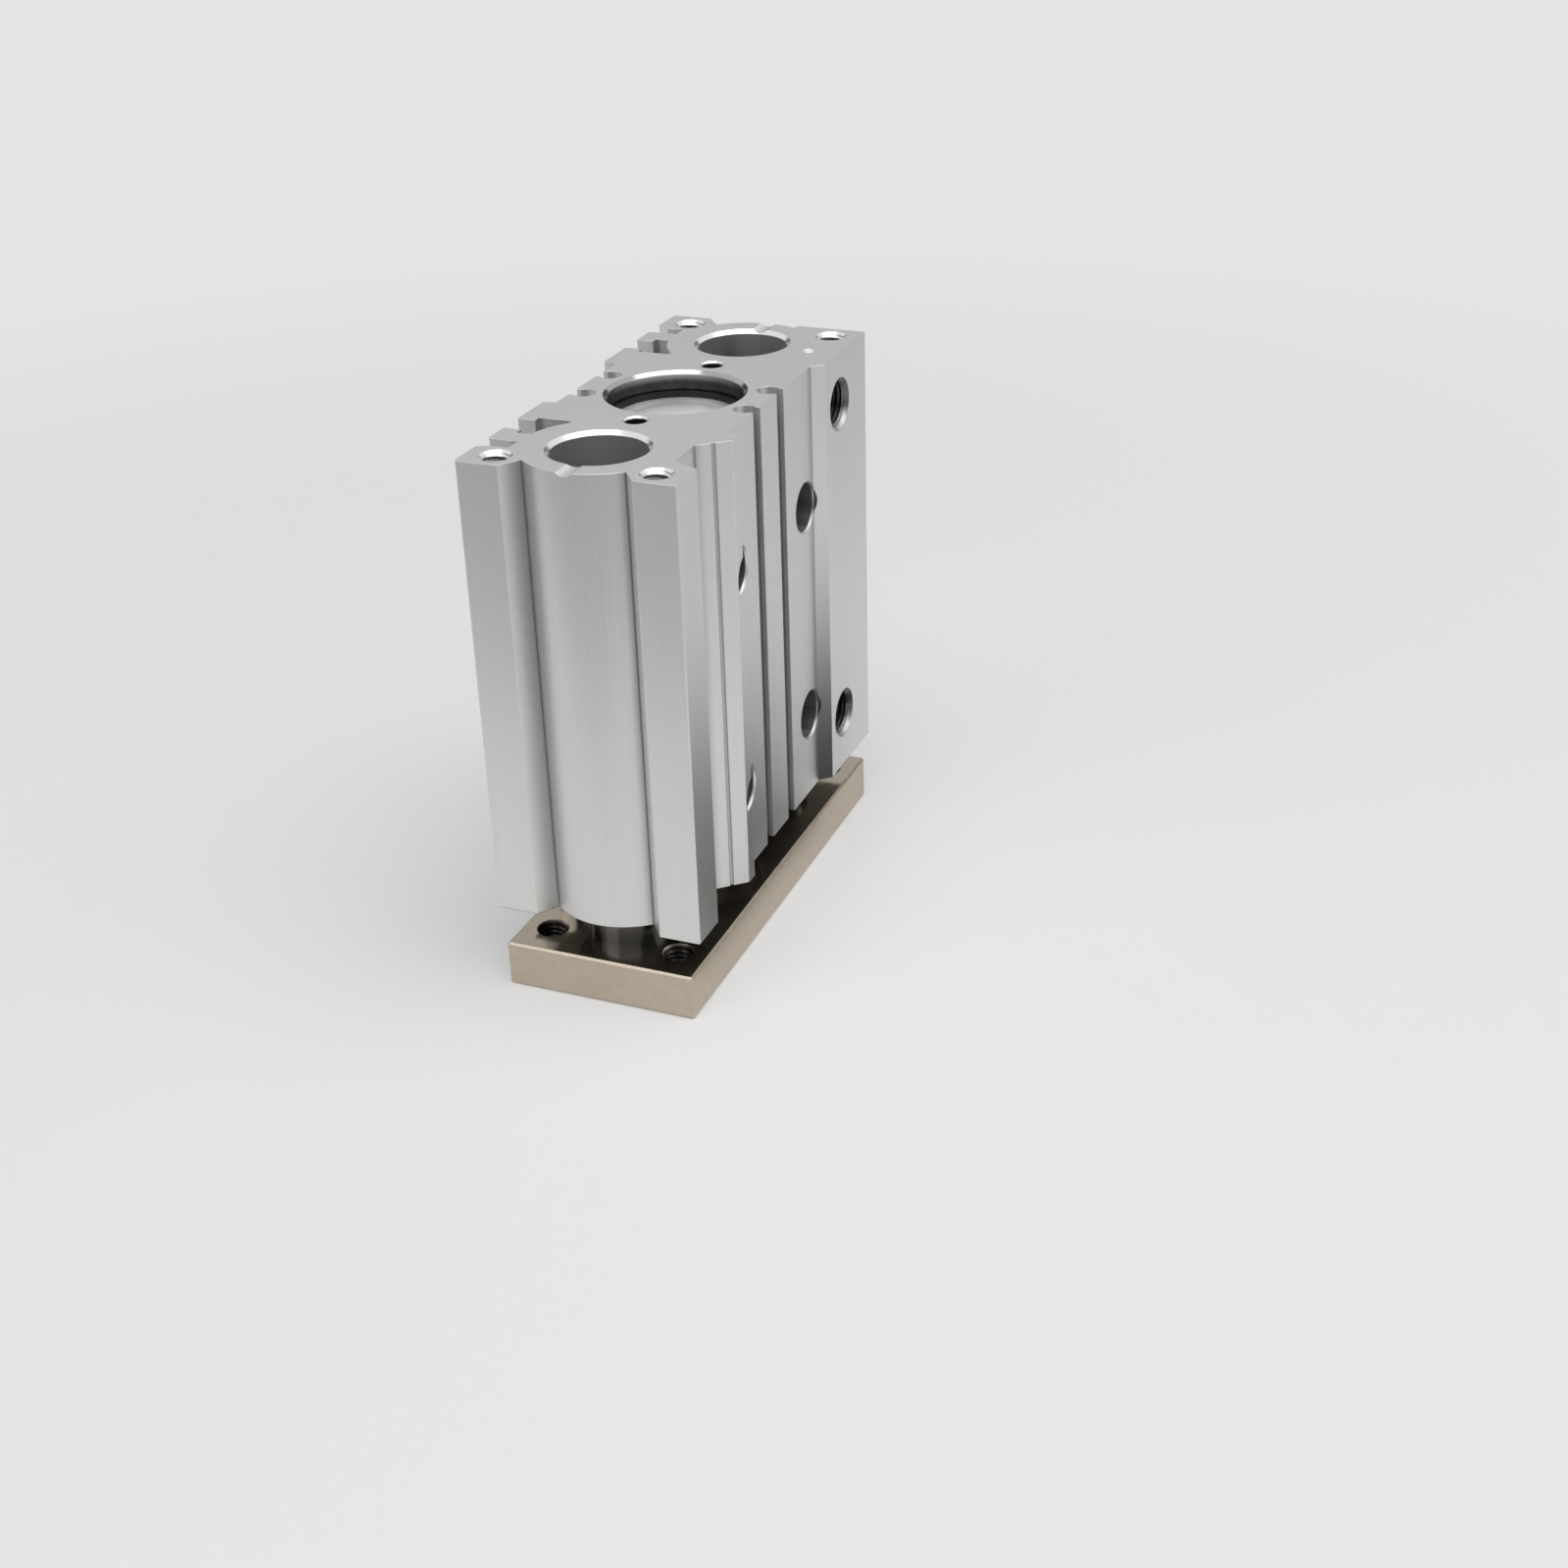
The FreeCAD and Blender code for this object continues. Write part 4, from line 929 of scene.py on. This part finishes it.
class CYLINDER_OT_finish_turned_parts(bpy.types.Operator):
    """Finishes the rods, covers, piston, rings, plugs, ball and bolts"""
    bl_idname = "cylinder.finish_turned_parts"
    bl_label = "Finish the turned parts"

    def execute(self, context):
        metals = context.scene.cylinder_metals
        guides = (-GUIDE_X, GUIDE_X)
        middle = (0.0,)
        every = (-GUIDE_X, 0.0, GUIDE_X)
        dress(round_finish("chromed_rod", metals.chrome, rough=0.15, axes=every,
                           depth=0.001 * MM, foot=PLATE_HIGH.z),
              "piston_rod", "guide_rod_left", "guide_rod_right")
        dress(round_finish("turned_aluminium", metals.turned, rough=0.50, axes=middle),
              "head_cover", "rod_collar", "piston")
        dress(round_finish("spring_steel", metals.spring, rough=0.48, axes=every, metallic=0.8),
              "head_snap_ring", "rod_snap_ring", "guide_snap_ring_left", "guide_snap_ring_right")
        dress(round_finish("black_bolt_steel", metals.bolt, rough=0.38, axes=every, metallic=0.7),
              "rod_bolt", "guide_bolts")
        dress(round_finish("plug_steel", PLUG_STEEL, rough=0.30, axes=guides),
              "port_plugs", "felt_holder_left", "felt_holder_right")
        # The ball's near white colour is a painted sheen
        dress(round_finish("ball_steel", BALL_PAINTED_SHEEN, rough=0.35, axes=middle, metallic=0.1,
                           depth=0.0005 * MM), "passage_ball")
        return {"FINISHED"}


class CYLINDER_OT_finish_soft_parts(bpy.types.Operator):
    """Finishes the bearings, wipers, magnet, seals and bumpers"""
    bl_idname = "cylinder.finish_soft_parts"
    bl_label = "Finish the bearings and seals"

    def execute(self, context):
        metals = context.scene.cylinder_metals
        dress(speckled_finish("bearing_bronze", metals.bronze, BRONZE_PORES, rough=0.42,
                              scale=3500.0, metallic=0.9),
              "slide_bearing_left", "slide_bearing_right")
        dress(speckled_finish("magnet", MAGNET, MAGNET_SPECK, rough=0.55, scale=4000.0,
                              metallic=0.4),
              "magnet_ring")
        dress(speckled_finish("seal_rubber", RUBBER, RUBBER_SPECK, rough=0.55, scale=3000.0,
                              depth=0.01 * MM),
              "head_cover_gasket", "collar_gasket", "rod_seal", "piston_seal")
        dress(speckled_finish("urethane", URETHANE, URETHANE_SPECK, rough=0.45, scale=1500.0,
                              depth=0.01 * MM),
              "rod_side_bumper", "head_side_bumper")
        dress(speckled_finish("felt", FELT, FELT_SPECK, rough=0.95, scale=2200.0,
                              depth=0.12 * MM),
              "felt_wiper_left", "felt_wiper_right")
        return {"FINISHED"}


class CYLINDER_OT_threads(bpy.types.Operator):
    """Cuts the screw threads of the tapped holes and the air ports"""
    bl_idname = "cylinder.threads"
    bl_label = "Thread the holes"

    def execute(self, context):
        sizes = context.scene.cylinder_details
        metals = context.scene.cylinder_metals
        barrel = context.scene.cylinder_barrel
        # Painted shade that darkens the threads with depth
        painted_shade = barrel.painted_shade_colour
        crest = tinted(barrel.bright_colour, 0.85)
        pitch, height = sizes.metric_pitch, sizes.thread_height
        run = TAPPED_DEPTH - TAPPED_CHAMFER + THREAD_RUN_OUT
        port_start = BODY_LOW.y + PORT_THREAD_START
        groups = [
            ("corner_threads", "barrel", "anodised_aluminium",
             thread_finish("corner_thread", crest, painted_shade, axis=2, mouth=HEAD_Z,
                           reach=1.15 * MM),
             [helical_ridge((x, y, HEAD_Z - TAPPED_DEPTH), (0, 0, 1), TAPPED_R, run, pitch,
                            height)
              for x, y, _ in mount_holes("head_end_threads")]),
            ("rear_threads", "barrel", "anodised_aluminium",
             thread_finish("rear_thread", crest, painted_shade, axis=1, mouth=HALF_D, reach=1.6 * MM),
             [helical_ridge((x, HALF_D - TAPPED_DEPTH, z), (0, 1, 0), TAPPED_R, run, pitch,
                            height)
              for x, _, z in mount_holes("rear_threads")]),
            ("port_threads", "barrel", "anodised_aluminium",
             # Port crests darkened further as painted shade deep in the ports
             thread_finish("port_thread", tinted(crest, 0.4), painted_shade, axis=1, mouth=BODY_LOW.y,
                           reach=1.2 * MM),
             [helical_ridge((x, port_start, z), (0, 1, 0), PORT_R, PORT_THREAD_LENGTH,
                            sizes.port_pitch, height)
              for name in ("port_rod_side", "port_head_side") for x, _, z in mount_holes(name)]),
            ("plate_threads", "carriage", "nickel_plate",
             # Plate crests nearly black as painted shade inside the plate's holes
             thread_finish("plate_thread", tinted(metals.nickel, 0.12), painted_shade, axis=2,
                           mouth=PLATE_HIGH.z, reach=1.2 * MM),
             [helical_ridge((x, y, PLATE_THREAD_START), (0, 0, 1), TAPPED_R,
                            PLATE_HIGH.z - 2 * PLATE_THREAD_START, pitch, height)
              for x, y, _ in mount_holes("plate_load_threads")]),
        ]
        for name, body, slot, finish, shapes in groups:
            piece = mesh_object(name, *join_shapes(shapes))
            outward(piece)
            piece.data.materials.append(finish.material)
            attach(piece, body)
        return {"FINISHED"}


class CYLINDER_OT_label(bpy.types.Operator):
    """Lays the bare label film on the lobe of the near end"""
    bl_idname = "cylinder.label"
    bl_label = "Lay the label film"

    def execute(self, context):
        sizes = context.scene.cylinder_details
        points, faces = film_shape(LOBE_FACE_R, -LOBE_FACE_X, sizes.label_middle,
                                   sizes.label_width, sizes.label_length, FILM_CORNER,
                                   sizes.label_film)
        piece = mesh_object("label_film", points, faces)
        outward(piece)
        piece.data.shade_smooth()
        piece.data.set_sharp_from_angle(angle=math.radians(30.0))
        piece.data.materials.append(label_finish(sizes.label_colour).material)
        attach(piece, "barrel")
        return {"FINISHED"}


OPERATORS = (
    CYLINDER_OT_stage,
    CYLINDER_OT_finish_barrel,
    CYLINDER_OT_finish_plate,
    CYLINDER_OT_finish_turned_parts,
    CYLINDER_OT_finish_soft_parts,
    CYLINDER_OT_threads,
    CYLINDER_OT_label,
)
SETTINGS = {
    "cylinder_barrel": BarrelFinish,
    "cylinder_metals": MetalFinish,
    "cylinder_details": DetailSizes,
    "cylinder_stage": StageSettings,
}


class CYLINDER_PT_panel(bpy.types.Panel):
    """Sizes, colours and steps of the cylinder's finish"""
    bl_idname = "CYLINDER_PT_panel"
    bl_label = "Guided cylinder"
    bl_space_type = "VIEW_3D"
    bl_region_type = "UI"
    bl_category = "Cylinder"

    def draw(self, context):
        for name, group in SETTINGS.items():
            box = self.layout.box()
            for key in group.__annotations__:
                box.prop(getattr(context.scene, name), key)
        for operator in OPERATORS:
            self.layout.operator(operator.bl_idname)


def register():
    for name, group in SETTINGS.items():
        bpy.utils.register_class(group)
        setattr(bpy.types.Scene, name, bpy.props.PointerProperty(type=group))
    for operator in OPERATORS:
        bpy.utils.register_class(operator)
    bpy.utils.register_class(CYLINDER_PT_panel)


def unregister():
    bpy.utils.unregister_class(CYLINDER_PT_panel)
    for operator in reversed(OPERATORS):
        bpy.utils.unregister_class(operator)
    for name, group in reversed(list(SETTINGS.items())):
        delattr(bpy.types.Scene, name)
        bpy.utils.unregister_class(group)


def main():
    register()
    bpy.ops.cylinder.stage()
    bpy.ops.cylinder.finish_barrel()
    bpy.ops.cylinder.finish_plate()
    bpy.ops.cylinder.finish_turned_parts()
    bpy.ops.cylinder.finish_soft_parts()
    bpy.ops.cylinder.threads()
    bpy.ops.cylinder.label()


if __name__ == "__main__":
    main()
